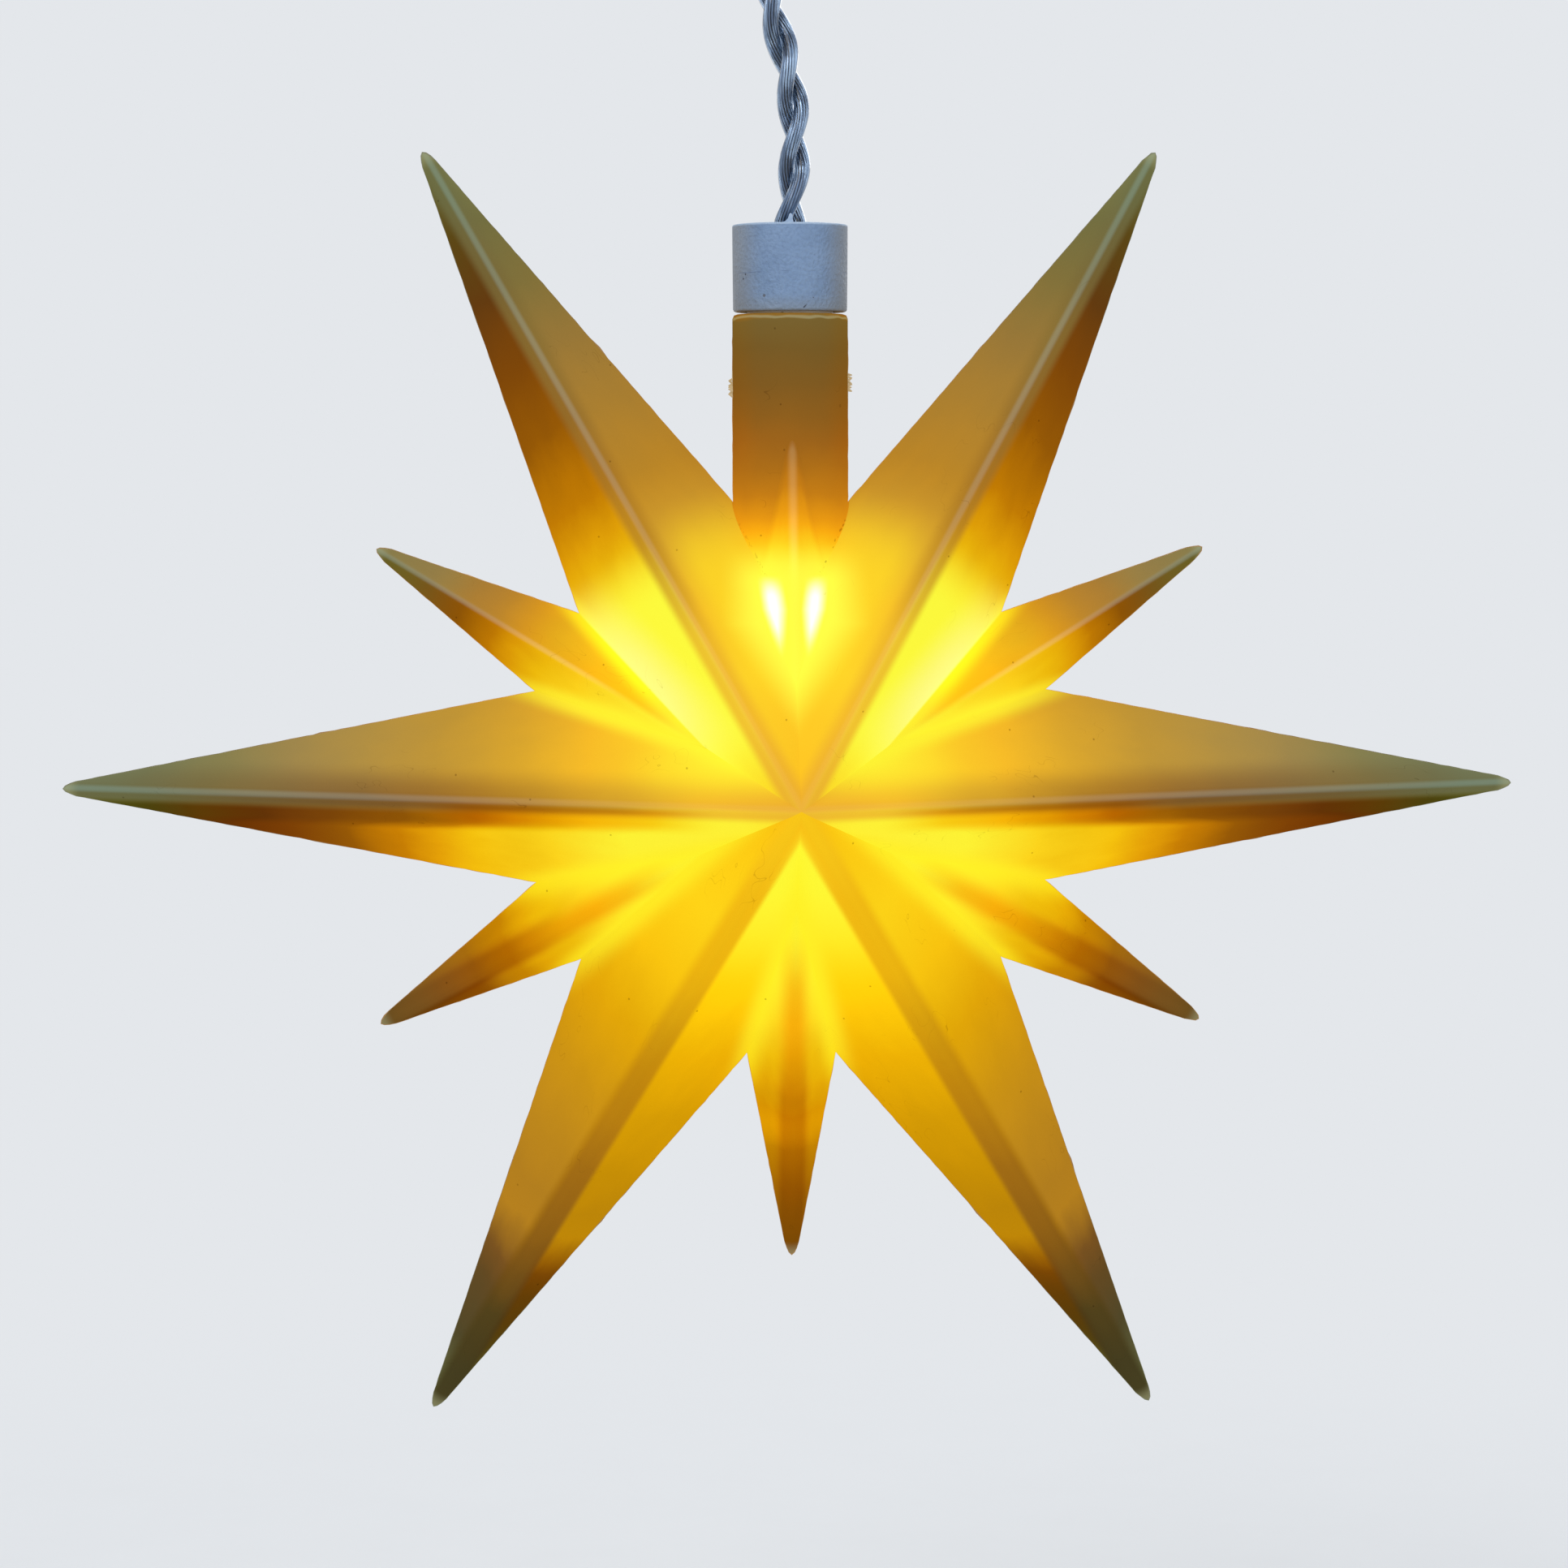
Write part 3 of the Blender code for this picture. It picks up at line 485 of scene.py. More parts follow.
join(star_form, hollow_form, "DIFFERENCE")
star_bm = form_of(star_form)
for obj in [hollow_form, *outer_forms.objects, *inner_forms.objects]:
    bpy.data.objects.remove(obj)
bmesh.ops.translate(star_bm, verts=star_bm.verts, vec=(0, 0, star_height))


def parts(place):
    """The x, y and z of a place."""
    split = add(place.tree, "SeparateXYZ", place)
    return [Value(split, axis) for axis in "XYZ"]


def band(value, start, full, waning, end):
    """Rises softly from 0 to 1 between the first two numbers, and falls between the last two."""
    return fade(value, start, full) * fade(value, end, waning)


def larger(*values):
    """The largest of some Values."""
    largest = values[0]
    for value in values[1:]:
        largest = largest.calc("MAXIMUM", value)
    return largest


def colour_run(value, stops):
    """A colour that follows the value through (value, red, green, blue) stops."""
    span = stops[-1][0]
    ramp = add(value.tree, "ValToRGB", value / span)
    elements = ramp.color_ramp.elements
    while len(elements) < len(stops):
        elements.new(0.5)
    for element, (place, *colour) in zip(elements, stops):
        element.position = place / span
        element.color = tint(*colour)
    return Value(ramp)


def dimmed(colour, share):
    """The colour with that share of its light."""
    return mixed(1.0, colour, (share, share, share, 1), "MULTIPLY")


# The runs of colour from the star's middle outwards, in millimetres: under and over the ridges, on
# the two lower long arms, on the ridges, and up the neck.
under_run = [
    (0, 252, 215, 35), (8, 255, 244, 56), (14, 255, 246, 54), (20, 254, 216, 30), (23, 238, 190, 14),
    (26, 216, 155, 8), (29, 182, 118, 4), (35, 130, 79, 6), (41, 104, 60, 8), (47, 80, 49, 14),
    (53, 74, 60, 20), (59, 84, 88, 50)]
over_run = [
    (0, 250, 196, 36), (11, 253, 208, 42), (17, 246, 188, 41), (23, 212, 163, 47), (29, 178, 141, 54),
    (35, 153, 127, 62), (41, 130, 114, 68), (47, 108, 106, 70), (53, 95, 103, 77), (59, 103, 116, 92)]
low_arm_run = [
    (0, 250, 196, 18), (11, 254, 212, 24), (17, 250, 198, 16), (23, 224, 166, 8), (29, 190, 139, 8),
    (35, 164, 119, 8), (39, 150, 108, 11), (41.5, 150, 108, 10), (45.5, 98, 66, 13), (48, 80, 58, 16),
    (53, 64, 56, 25), (59, 80, 84, 52)]
ridge_run = [
    (0, 232, 170, 52), (8, 240, 181, 46), (15, 234, 180, 44), (20, 206, 154, 40), (25, 176, 126, 36),
    (30, 150, 108, 38), (35, 128, 98, 42), (42, 112, 94, 46), (48, 98, 88, 50), (56, 88, 92, 62)]
low_ridge_run = [
    (0, 250, 200, 30), (8, 242, 186, 20), (15, 236, 178, 16), (25, 188, 132, 15), (35, 138, 94, 20),
    (43, 106, 73, 20), (50, 64, 54, 24), (56, 52, 48, 26)]
neck_run = [
    (14, 255, 252, 70), (17.5, 255, 242, 58), (18.9, 255, 221, 38), (20, 254, 198, 26),
    (21, 249, 174, 19), (22, 231, 154, 20), (24.1, 193, 123, 22), (26.3, 165, 105, 24),
    (28.4, 146, 93, 26), (30.5, 128, 86, 28), (33, 112, 80, 31), (36, 101, 78, 35), (38.3, 99, 82, 42),
    (38.75, 120, 88, 34)]
base_share, emission_share = 0.28, 0.76


def glowing_finish():
    """Amber plastic lit from inside. The pattern follows the arms: how far a place is from the
    star's middle, how far from its arm's ridge and from the crease beside it, and on which side."""
    material, shader, place = new_finish("lit_amber_plastic", tint(150, 110, 40), 0.36, IOR=1.46)
    metres = parts(place)
    x, y, z = (part * 1000 for part in metres)
    z = z - star_height * 1000
    out, side = (x * x + z * z).calc("SQRT"), abs(x)
    sixths = z.calc("ARCTAN2", x) / (pi / 3)

    def arm(steps, reach):
        """Distance across an arm (up side positive), the same without its sign, how high the arm's
        form stands there, and the arm's rise."""
        turn = steps * (pi / 3)
        level, rise = turn.calc("COSINE"), turn.calc("SINE")
        across = (z * level - x * rise) * level.calc("SIGN")
        height = reach * 1000 - (x * level + z * rise) - abs(across) / arm_spread
        return across, abs(across), height, rise

    across_long, _, high_long, rise_long = arm(sixths.calc("ROUND"), long_reach)
    across_short, aside_short, high_short, rise_short = arm(sixths.calc("FLOOR") + 0.5, short_reach)
    lead_over = high_long - high_short
    from_crease = abs(lead_over)
    on_long = fade(lead_over, -2.5, 2.5)
    on_short = 1 - on_long
    low_arm = on_long * fade(rise_long, -0.5, -0.7)
    level_arm = on_long * fade(abs(rise_long), 0.5, 0.3)
    up_long = fade(across_long, -0.15, 0.15)
    up_short = fade(across_short, -0.35, 0.35) * fade(rise_short, -0.3, 0.3)
    below = on_short * fade(rise_short, 0.2, -0.2)
    clouds, grit = grain(place, 240, 3), grain(place, 5200)

    def cover(share, *colour):
        """Lays a tint or a Value over the glow."""
        nonlocal glow
        glow = mixed(share, glow, tint(*colour) if len(colour) > 1 else colour[0])

    def times(share, *amounts):
        """Multiplies the glow's red, green and blue."""
        nonlocal glow
        glow = mixed(share, glow, (*amounts, 1), "MULTIPLY")

    def plus(share, *amounts):
        """Adds to the glow's red, green and blue."""
        nonlocal glow
        glow = mixed(share, glow, (*amounts, 1), "ADD")

    # How far the light seems to have come: on the level arms the underside is darker beside the
    # ridge, and the short arms darken sooner than the long ones.
    wedge = band(across_long, -2.9, -1.9, -0.2, 0.2) * level_arm
    reach_on = fade(across_long, -1.7, -3.0) * level_arm * band(out, 20, 27, 32, 40)
    near = out + wedge * 3.6 - reach_on * 3.4 + on_short * fade(out, 24, 36, 0, 7)
    near = near + below * fade(out, 13, 19, 0, 1.3) + (clouds - 0.5) * 2.2

    # The faces: cool and pale above the ridges, where painted light from above falls, deep amber below
    # them.
    upside = up_short + (up_long - up_short) * on_long
    glow = mixed(upside, colour_run(near, under_run), colour_run(near, over_run))
    cover(low_arm, colour_run(near, low_arm_run))
    inner_side = low_arm * fade(across_long, -0.5, -1.6)
    times(inner_side * 0.55, 1.25, 1.32, 0.4)
    cover(inner_side * fade(out, 16.5, 6), 255, 250, 54)
    plus(low_arm * fade(across_long, 0.3, 1.2) * fade(out, 21, 36), 0.0, 0.005, 0.008)

    # Light gathers in the creases between the arms, most near the middle, but not beside the neck.
    gathered = fade(from_crease, 24.0, 1.0) * fade(out, 31, 17) * fade(side - z * 0.5, -1.5, 1.5)
    gathered = gathered * fade(from_crease, fade(z, -3, 3, 21, 14), 2.0)
    cover(gathered * 0.8, mixed(fade(z, -3, 5), tint(255, 242, 42), tint(255, 246, 54)))
    steep_arm = fade(lead_over, -1.0, 1.0) * fade(rise_long, 0.5, 0.7)
    steep_under, steep_over = steep_arm * (1 - up_long), steep_arm * up_long
    cover(steep_under * band(out, 3, 9, 19, 24.5), 255, 253, 62)
    cover(steep_under * fade(lead_over, 40, -4) * band(out, 5, 14, 16, 25) * 0.8, 255, 255, 156)
    cover(steep_over * fade(across_long, 0.1, 3.2) * band(out, 6, 12, 19, 26) * 0.8, 255, 218, 40)
    times(steep_over * fade(out, 21, 29), 0.93, 0.79, 0.56)

    # Short arms: a brown ridge near the middle, where the thick ridge passes less light, and painted light
    # and shade of their own above, below and at the foot.
    short_ridge = fade(aside_short, 1.6, 0.1) * on_short * fade(out, 10.5, 16) * fade(out, 29, 18, 0.12, 1)
    times(short_ridge * fade(rise_short, -0.2, 0.2, 1.0, 0.25), 0.96, 0.64, 0.28)
    short_over = on_short * up_short
    times(short_over * band(out, 12, 16, 23, 29), 1.18, 1.18, 0.5)
    times(short_over * band(out, 22, 26, 30, 34), 1.0, 0.84, 0.75)
    high_under = (on_short - below).calc("SUBTRACT", up_short, clamp=True)
    plus(high_under * fade(out, 30, 37), 0.0, 0.05, 0.012)
    low_short = below * fade(out, 20, 26)
    times(low_short * fade(aside_short, 0.9, 1.7), 1.1, 1.24, 0.9)
    times(low_short * fade(aside_short, 1.3, 0.7), 0.84, 0.76, 0.6)
    bottom_arm = on_short * fade(rise_short, -0.7, -0.8)
    slanted_arm = low_short.calc("SUBTRACT", bottom_arm, clamp=True)
    plus(slanted_arm * fade(out, 27, 36), 0.004, 0.018, 0.008)
    times(slanted_arm * fade(across_short, -0.4, -1.1) * fade(out, 28, 31), 0.72, 0.52, 0.16)
    times(slanted_arm * fade(out, 26, 32), 1.36, 1.38, 1.15)
    times(bottom_arm * fade(out, 25, 30), 1.9, 2.15, 0.6)

    # The thick ridges pass less light: a soft tan band with a pale line on its crown, which catches
    # the cool light from above. On the lower arms the band is browner and has no line.
    ridge_band = larger(band(across_long, -1.35, -0.5, 0.3, 1.5) * on_long,
                        band(across_long, -0.3, 0.2, 0.6, 2.6) * level_arm * 0.8)
    cover(ridge_band * (1 - low_arm) * 0.8, colour_run(near, ridge_run))
    low_band = band(across_long, -1.6, -0.95, 0.35, 1.3) * low_arm * fade(out, 1.5, 8, 0.6, 0.92)
    cover(low_band, colour_run(near, low_ridge_run))
    under_ridge = band(across_long, -2.7, -1.5, -0.5, 0.1) * level_arm
    times(under_ridge * band(out, 6, 12, 25, 31), 0.96, 0.70, 0.22)
    on_ridge = band(across_long, -1.0, -0.4, 0.3, 2.8) * level_arm
    times(on_ridge * fade(out, 6, 15) * fade(out, 50, 36, 0.3, 1), 0.76, 0.73, 1.0)
    cover(level_arm * fade(across_long, 0.3, 3.6) * fade(out, 14.5, 5), 255, 246, 56)
    crown = fade(abs(across_long - 0.12), 0.40, 0.08) * on_long * (1 - low_arm) * fade(out, 3, 34, 0.2, 0.9)
    thin_crown = fade(aside_short, 0.32, 0.05) * on_short * fade(rise_short, -0.2, 0.2) * fade(out, 14, 22)
    crown_light = mixed(fade(out, 18, 30), (0.045, 0.058, 0.075, 1), (0.022, 0.060, 0.078, 1))
    glow = mixed(larger(crown, thin_crown * 0.9) * 0.9, glow, crown_light, "ADD")
    level_under = level_arm * fade(across_long, -0.5, -1.3)
    times(level_under * fade(out, 36, 46), 1.0, 0.72, 0.3)
    times(level_under * fade(out, 48, 54), 0.55, 0.68, 0.5)

    # Neck: olive amber, lit from below, with the top arm's ridge as a pale spike on it, a painted highlight
    # on the spike's crown and a painted highlight along the rim.
    across_neck, neck_side = (x * x + y * y).calc("SQRT"), neck_radius * 1000
    on_neck = fade(across_neck, neck_side + 0.16, neck_side + 0.04) * fade(z, 13, 15)
    spike = fade(side, 4.8, 4.4) * on_short * fade(z, 14, 17)
    flank = fade(across_neck, 4.8, 5.8) * on_short * fade(z, 15, 19)
    lit_height = (clouds - 0.5) * 1.4 + (z - flank * 0.8)
    cover(larger(on_neck, spike * 0.92), colour_run(lit_height, neck_run))
    # Painted highlight: a pale wavy line along the neck's rim.
    rim_highlight_height = z + grain(place, 560, 1) * 0.5
    cover(fade(abs(rim_highlight_height - 38.75), 0.17, 0.03) * on_neck * 0.55, 142, 140, 112)
    # Painted highlight on the spike's crown.
    spike_crown = fade(side, 0.55, 0.05) * fade(z, 15, 18)
    plus(spike_crown * fade(across_neck, neck_side + 0.02, neck_side + 0.4) * 0.8, 0.06, 0.075, 0.05)

    # Hot spots: two white teardrops where the lamp's beam strikes the faces beside the top ridge.
    half_width = ((z - 12.45) * 0.2).calc("MINIMUM", 0.5)
    drop = half_width - abs(side - (z * 0.14 - 0.525))
    halo = (z * 0.68 - 5.54).calc("MINIMUM", 3.98) - side
    cover(fade(halo, -2.3, 1.3) * fade(z, 20.4, 17.0) * 0.95, 255, 254, 74)
    glow = mixed(fade(drop, -0.62, 0.5) * band(z, 11.0, 13.8, 15.7, 17.7), glow, (1.2, 1.2, 1.18, 1))

    # Tips: blunt and rough, and a little paler and greyer with a painted sheen. Hairlines and specks lie
    # all over, few and faint, and a row of dots in the creases beside the top ridge.
    tip = larger(fade(out, 58.5, 59.9) * on_long, fade(out, 38.1, 39.3) * on_short)
    tip = tip * fade(on_neck, 0.5, 0.1)
    # Painted sheen: the tips turn a paler grey-green.
    cover(tip * 0.4, 140, 146, 116)
    flat = Value(add(place.tree, "CombineXYZ", metres[0], metres[2]))
    speck = add(place.tree, "TexVoronoi", flat, Scale=150, voronoi_dimensions="2D")
    picked = Value(add(place.tree, "SeparateColor", Value(speck, "Color")))
    specks = fade(Value(speck, "Distance"), 0.015, 0.008) * fade(picked, 0.55, 0.6)
    dots = fade(abs(side - (z * 0.51 - 6.8)), 0.16, 0.05) * fade(grain(place, 3600, 0), 0.56, 0.62)
    dots = dots * band(z, 17.4, 18.0, 21.6, 22.4) * fade(x, -4.0, -1.0, 0.35, 1.0)
    curls = fade(abs(grain(place, 420, 1) - 0.5), 0.0035, 0.0012) * fade(grain(place, 170, 0), 0.66, 0.70)
    times(larger(specks, dots, curls * 0.6) * 0.55, 0.35, 0.28, 0.2)

    # Last, the far parts are made brighter, so that they read as lit in a pale room.
    times(inner_side * fade(out, 41, 46) * fade(out, 56, 50, 0.3, 1), 0.9, 0.68, 0.5)
    times(fade(out, 19, 46), 1.6, 1.46, 1.27)
    times(on_neck * fade(z, 20, 26), 1.0, 1.04, 1.05)
    times(on_neck * fade(z, 24, 30) * fade(side, 2.4, 4.6), 1.12, 1.0, 0.72)
    feed(shader, Base_Color=dimmed(glow, base_share), Emission_Color=dimmed(glow, emission_share),
         Emission_Strength=1.0, Specular_IOR_Level=0.0,
         Roughness=tip * 0.25 + fade(clouds, 0.3, 0.7, 0.30, 0.44))
    relief(shader, clouds * 4 + (grit - curls), 0.00001, 0.6)
    return material


piece("lit_star_shell", star_bm, glowing_finish(), "star", ["star_shell"], sharp=32)


# Seam and tips: the two halves of the mould left a thin uneven fin of plastic all along the star's
# outline and down the sides of its neck, with torn bits at the neck and at the blunt tips.
fin_height, fin_unevenness, fin_thickness, fin_least = 0.00004, 0.000035, 0.00007, 0.00001
coarse_lumps, fine_lumps, fine_share, long_tip, short_tip = 900, 2600, 0.6, 0.0012, 0.0009
fin_stop, fin_wane = 0.0030, 0.0020
shred_count, shred_height, shred_gap, shred_out = 7, 0.0331, 0.00021, 0.00012
shred_root, shred_tip, shred_length = 0.00020, 0.00006, 0.00050


def by_neck_top(place, margin):
    """Whether a place lies on the neck's rim, where the cap sits and there is no fin."""
    return place.z > neck_top - margin and abs(place.x) < neck_radius * 1.1


fin_bm = outline_form
bmesh.ops.bisect_plane(fin_bm, geom=fin_bm.verts[:] + fin_bm.edges[:] + fin_bm.faces[:], dist=1e-6,
                       plane_co=(0, 0, 0), plane_no=(0, 1, 0), clear_inner=True, clear_outer=True)
bmesh.ops.delete(fin_bm, geom=fin_bm.faces[:], context="FACES_ONLY")
rim_edges = [edge for edge in fin_bm.edges if all(by_neck_top(end.co, fin_stop) for end in edge.verts)]
bmesh.ops.delete(fin_bm, geom=rim_edges, context="EDGES")
for edge_length in (0.016, 0.008, 0.004, 0.002, 0.001, 0.0006):
    long_edges = [edge for edge in fin_bm.edges if edge.calc_length() > edge_length]
    bmesh.ops.subdivide_edges(fin_bm, edges=long_edges, cuts=1)
for vert in fin_bm.verts:
    vert.co.y = 0
bmesh.ops.remove_doubles(fin_bm, verts=fin_bm.verts, dist=1e-6)
outward = {}
for vert in fin_bm.verts:
    way = Vector()
    for edge in vert.link_edges:
        run = edge.other_vert(vert).co - vert.co
        normal = Vector((run.z, 0, -run.x)).normalized()
        way += normal if normal.dot(vert.co) > 0 else -normal
    outward[vert.co.to_tuple(7)] = way.normalized() if way.length else vert.co.normalized()
made = bmesh.ops.extrude_edge_only(fin_bm, edges=fin_bm.edges[:])["geom"]
for vert in (item for item in made if isinstance(item, bmesh.types.BMVert)):
    where = vert.co.copy()
    rough = noise.noise(where * coarse_lumps) + fine_share * noise.noise(where * fine_lumps)
    near_tip = max(0, 1 - (long_reach - where.length) / long_tip,
                   1 - abs(short_reach - where.length) / short_tip)
    proud = max(fin_least, fin_height + fin_unevenness * rough) * (1 + 1.5 * near_tip)
    vert.co += outward[where.to_tuple(7)] * (fin_least if by_neck_top(where, fin_wane) else proud)
bmesh.ops.remove_doubles(fin_bm, verts=fin_bm.verts, dist=1e-6)
bmesh.ops.recalc_face_normals(fin_bm, faces=fin_bm.faces)
bmesh.ops.solidify(fin_bm, geom=fin_bm.faces[:], thickness=fin_thickness)
bmesh.ops.translate(fin_bm, verts=fin_bm.verts, vec=(0, fin_thickness / 2, 0))
for side in (-1, 1):
    for number in range(shred_count):
        shred = bmesh.ops.create_cone(
            fin_bm, cap_ends=True, segments=5, radius1=shred_root - 0.00001 * number, radius2=shred_tip,
            depth=shred_length + 0.00012 * sin(number * 3.1))["verts"]
        lean, twist = side * (pi / 2 + 0.5 * sin(number * 2.4 + side)), sin(number * 1.7) * 0.7
        for angle, axis in ((lean, "Y"), (twist, "Z")):
            bmesh.ops.rotate(fin_bm, verts=shred, cent=(0, 0, 0), matrix=Matrix.Rotation(angle, 3, axis))
        height = shred_height + shred_gap * (number - 3) + 0.0002 * side
        bmesh.ops.translate(fin_bm, verts=shred, vec=(
            side * (neck_radius + shred_out), 0.00022 * sin(number * 2.1), height))
bmesh.ops.translate(fin_bm, verts=fin_bm.verts, vec=(0, 0, star_height))


def fin_finish():
    """Thin torn plastic: paler than the walls, it carries their light to the outline."""
    material, shader, place = new_finish("thin_seam_plastic", tint(205, 190, 140), 0.55)
    x, _, z = parts(place)
    z = z - star_height
    out = (x * x + z * z).calc("SQRT") / long_reach
    light = colour_run(out + (grain(place, 900) - 0.5) * 0.2, [
        (0, 255, 214, 60), (0.4, 232, 170, 60), (0.6, 188, 140, 78), (0.8, 138, 124, 86),
        (1, 138, 140, 110)])
    torn = fade(abs(z - shred_height), 0.0013, 0.0010) * fade(abs(x), neck_radius * 1.5, neck_radius * 1.3)
    look = mixed(torn, light, tint(216, 194, 150))
    feed(shader, Base_Color=dimmed(look, 0.5), Emission_Color=dimmed(look, 0.4), Emission_Strength=1.0)
    relief(shader, grain(place, 4000), 0.00002)
    return material


piece("star_seam", fin_bm, fin_finish(), "star", [], sharp=50)


# Cap: a cool pale injection-moulded cup over the end of the neck, a little wider at its top, with
# a spark-eroded skin like fine orange peel, a slot for the pair and a torn moulding nib beside it.
cap_low, cap_top = 0.03905 + star_height, 0.04615 + star_height
cap_radius, cap_bore, cap_roof, cap_draft = 0.00469, 0.00369, 0.0012, 0.00005
cap_edge = cap_radius + cap_draft
slot_half_width, slot_half_length = 0.000795, 0.001575
nib_forward, nib_height, nib_sheets = 0.00178, 0.00088, (-0.00034, -0.00020, 0.00020, 0.00034)
nib_side = [
    (-0.00130, -0.0002), (-0.00125, 0.00003), (-0.00080, 0.00010), (-0.00045, 0.00022), (-0.00022, 0.00046),
    (-0.00012, 0.00078), (-0.00004, nib_height), (0.00007, nib_height - 0.00003),
    (0.00015, nib_height - 0.00020), (0.00019, 0.00020), (0.00026, 0.00003), (0.00028, -0.0002)]
cap_crease = cap_top - 0.00394
cap_marks = [
    (-0.00371, -0.00414, 0.00011), (-0.00387, -0.00449, 0.00012), (-0.00366, -0.00437, 0.00005),
    (0.00098, -0.00686, 0.00008), (0.00105, -0.00679, 0.00008), (0.00112, -0.00672, 0.00007),
    (0.00120, -0.00664, 0.00005), (0.00175, -0.00608, 0.00006)]


def slot_form(top, thickness, roundness):
    """The round-ended slot that the pair goes through, as a form to cut out of a disc."""
    bm = bmesh.new()
    bmesh.ops.create_cube(bm, size=1)
    bmesh.ops.scale(bm, verts=bm.verts, vec=(slot_half_length * 2, slot_half_width * 2, thickness * 3))
    bmesh.ops.translate(bm, verts=bm.verts, vec=(0, 0, top - thickness / 2))
    upright = [edge for edge in bm.edges if abs(edge.verts[0].co.z - edge.verts[1].co.z) > thickness]
    bmesh.ops.bevel(bm, geom=upright, offset=slot_half_width * 0.98, segments=roundness, profile=0.5,
                    affect="EDGES", material=-1)
    return bm


def carved(bm, *steps):
    """The form after others are joined to it or cut out of it, in (operation, form) steps."""
    obj, others = linked("form", bm), []
    for operation, other in steps:
        others.append(linked("other_form", other))
        join(obj, others[-1], operation)
    result = form_of(obj)
    for other in others:
        bpy.data.objects.remove(other)
    return result


def nib_form():
    """The torn nib: four sheets of one outline, thinner upwards and a little lower outside."""
    bm, sheets = bmesh.new(), []
    for depth in nib_sheets:
        sheets.append([
            bm.verts.new((across, depth * (1 - 0.75 * max(0, up) / nib_height) - nib_forward, cap_top + up))
            for across, up in nib_side])
    for vert in sheets[0] + sheets[-1]:
        if vert.co.z > cap_top:
            vert.co.z = cap_top + (vert.co.z - cap_top) * 0.94
    for near, far in zip(sheets, sheets[1:]):
        for number in range(len(nib_side)):
            after = (number + 1) % len(nib_side)
            bm.faces.new((near[number], near[after], far[after], far[number]))
    bm.faces.new(sheets[0])
    bm.faces.new(sheets[-1][::-1])
    return bm


cap_bm = carved(turned_form([
    (0, cap_top), (cap_edge - 0.00016, cap_top), (cap_edge - 0.00005, cap_top - 0.00004),
    (cap_edge, cap_top - 0.00014), (cap_radius + cap_draft * 0.6, (cap_top + cap_low) / 2),
    (cap_radius, cap_low + 0.0002), (cap_radius - 0.00006, cap_low + 0.00007),
    (cap_radius - 0.0002, cap_low), (cap_bore, cap_low), (cap_bore, cap_top - cap_roof),
    (0, cap_top - cap_roof)]),
    ("UNION", nib_form()), ("DIFFERENCE", slot_form(cap_top, cap_roof, 10)))


def moulded_skin():
    """A node group for moulded plastic: an orange-peel relief, soft clouds, and sparse dark specks."""
    group = bpy.data.node_groups.new("moulded_skin", "ShaderNodeTree")
    group.interface.new_socket("Place", in_out="INPUT", socket_type="NodeSocketVector")
    for name, way in (("Peel Scale", "INPUT"), ("Speck Share", "INPUT"), ("Clouds", "OUTPUT"),
                      ("Peel", "OUTPUT"), ("Specks", "OUTPUT")):
        group.interface.new_socket(name, in_out=way, socket_type="NodeSocketFloat")
    start = group.nodes.new("NodeGroupInput")
    place = Value(start, "Place")
    spots = Value(add(group, "TexVoronoi", place, Scale=700), "Distance")
    rare = grain(place, 190, 0) + Value(start, "Speck Share") * 0.1
    feed(group.nodes.new("NodeGroupOutput"), Clouds=grain(place, 300, 3),
         Peel=grain(place, Value(start, "Peel Scale")),
         Specks=fade(spots, 0.13, 0.07) * fade(rare, 0.66, 0.70))
    return group


skin_group = moulded_skin()


def moulded_look(name, colour, shaded, roughness, peel_depth, peel_scale, speck_share, **plain):
    """Moulded plastic or rubber, in two close tints over a fine relief, and what it is made with."""
    material, shader, place = new_finish(name, colour, roughness, **plain)
    skin = add(material.node_tree, "Group", place, node_tree=skin_group, Peel_Scale=peel_scale,
               Speck_Share=speck_share)
    clouds, peel = Value(skin, "Clouds"), Value(skin, "Peel")
    base = mixed(fade(clouds, 0.32, 0.7), colour, shaded)
    base = mixed(Value(skin, "Specks") * 0.75, base, tint(70, 66, 60))
    feed(shader, Base_Color=base,
         Roughness=fade(clouds, 0.3, 0.7, max(0.02, roughness - 0.06), roughness + 0.06))
    relief(shader, peel, peel_depth)
    return material, shader, place, peel, base


def moulded_finish(*look, **plain):
    """The material alone."""
    return moulded_look(*look, **plain)[0]


def cap_finish():
    """The cap's cool pale grey-blue: greyer towards its foot, greyer round its sides where side light
    falls, with a painted highlight on its top edge, a faint crease and dark specks.
    """
    material, shader, place, peel, base = moulded_look(
        "cool_grey_cap", tint(126, 153, 190), tint(116, 143, 180), 0.5, 0.00014, 3400.0, 0.2)
    x, _, z = parts(place)
    wander = grain(place, 700) * 0.0005 - 0.00025
    crease = fade(abs(z - cap_crease + wander), 0.00006, 0.00001) * fade(grain(place, 420, 1), 0.47, 0.6)
    marks = []
    for across, up, size in cap_marks:
        middle = (across, -sqrt(cap_radius ** 2 - across ** 2), cap_top + up)
        distance = Value(add(place.tree, "VectorMath", place, middle, operation="DISTANCE"), "Value")
        marks.append(fade(distance, size, size * 0.5))
    # Painted shade: the peel's pits are a little darker.
    base = mixed(fade(peel, 0.52, 0.36), base, (0.89, 0.90, 0.92, 1), "MULTIPLY")
    # Painted light: greyer round the sides where side light falls, and a painted highlight along the top
    # edge. The foot is greyer too.
    for share, colour in (
            (fade(abs(x), 0.0022, 0.0047) * 0.8, (138, 146, 156)),
            (fade(z, cap_low + 0.0016, cap_low) * 0.6, (128, 138, 150)),
            (fade(z, cap_top - 0.00022, cap_top - 0.0001) * 0.8, (178, 200, 226)),
            (crease * 0.6, (84, 104, 138)),
            (larger(*marks) * 0.85, (30, 34, 46))):
        base = mixed(share, base, tint(*colour))
    feed(shader, Base_Color=base)
    return material


piece("white_cap", cap_bm, cap_finish(), "lead", ["holder_cap"], sharp=40)


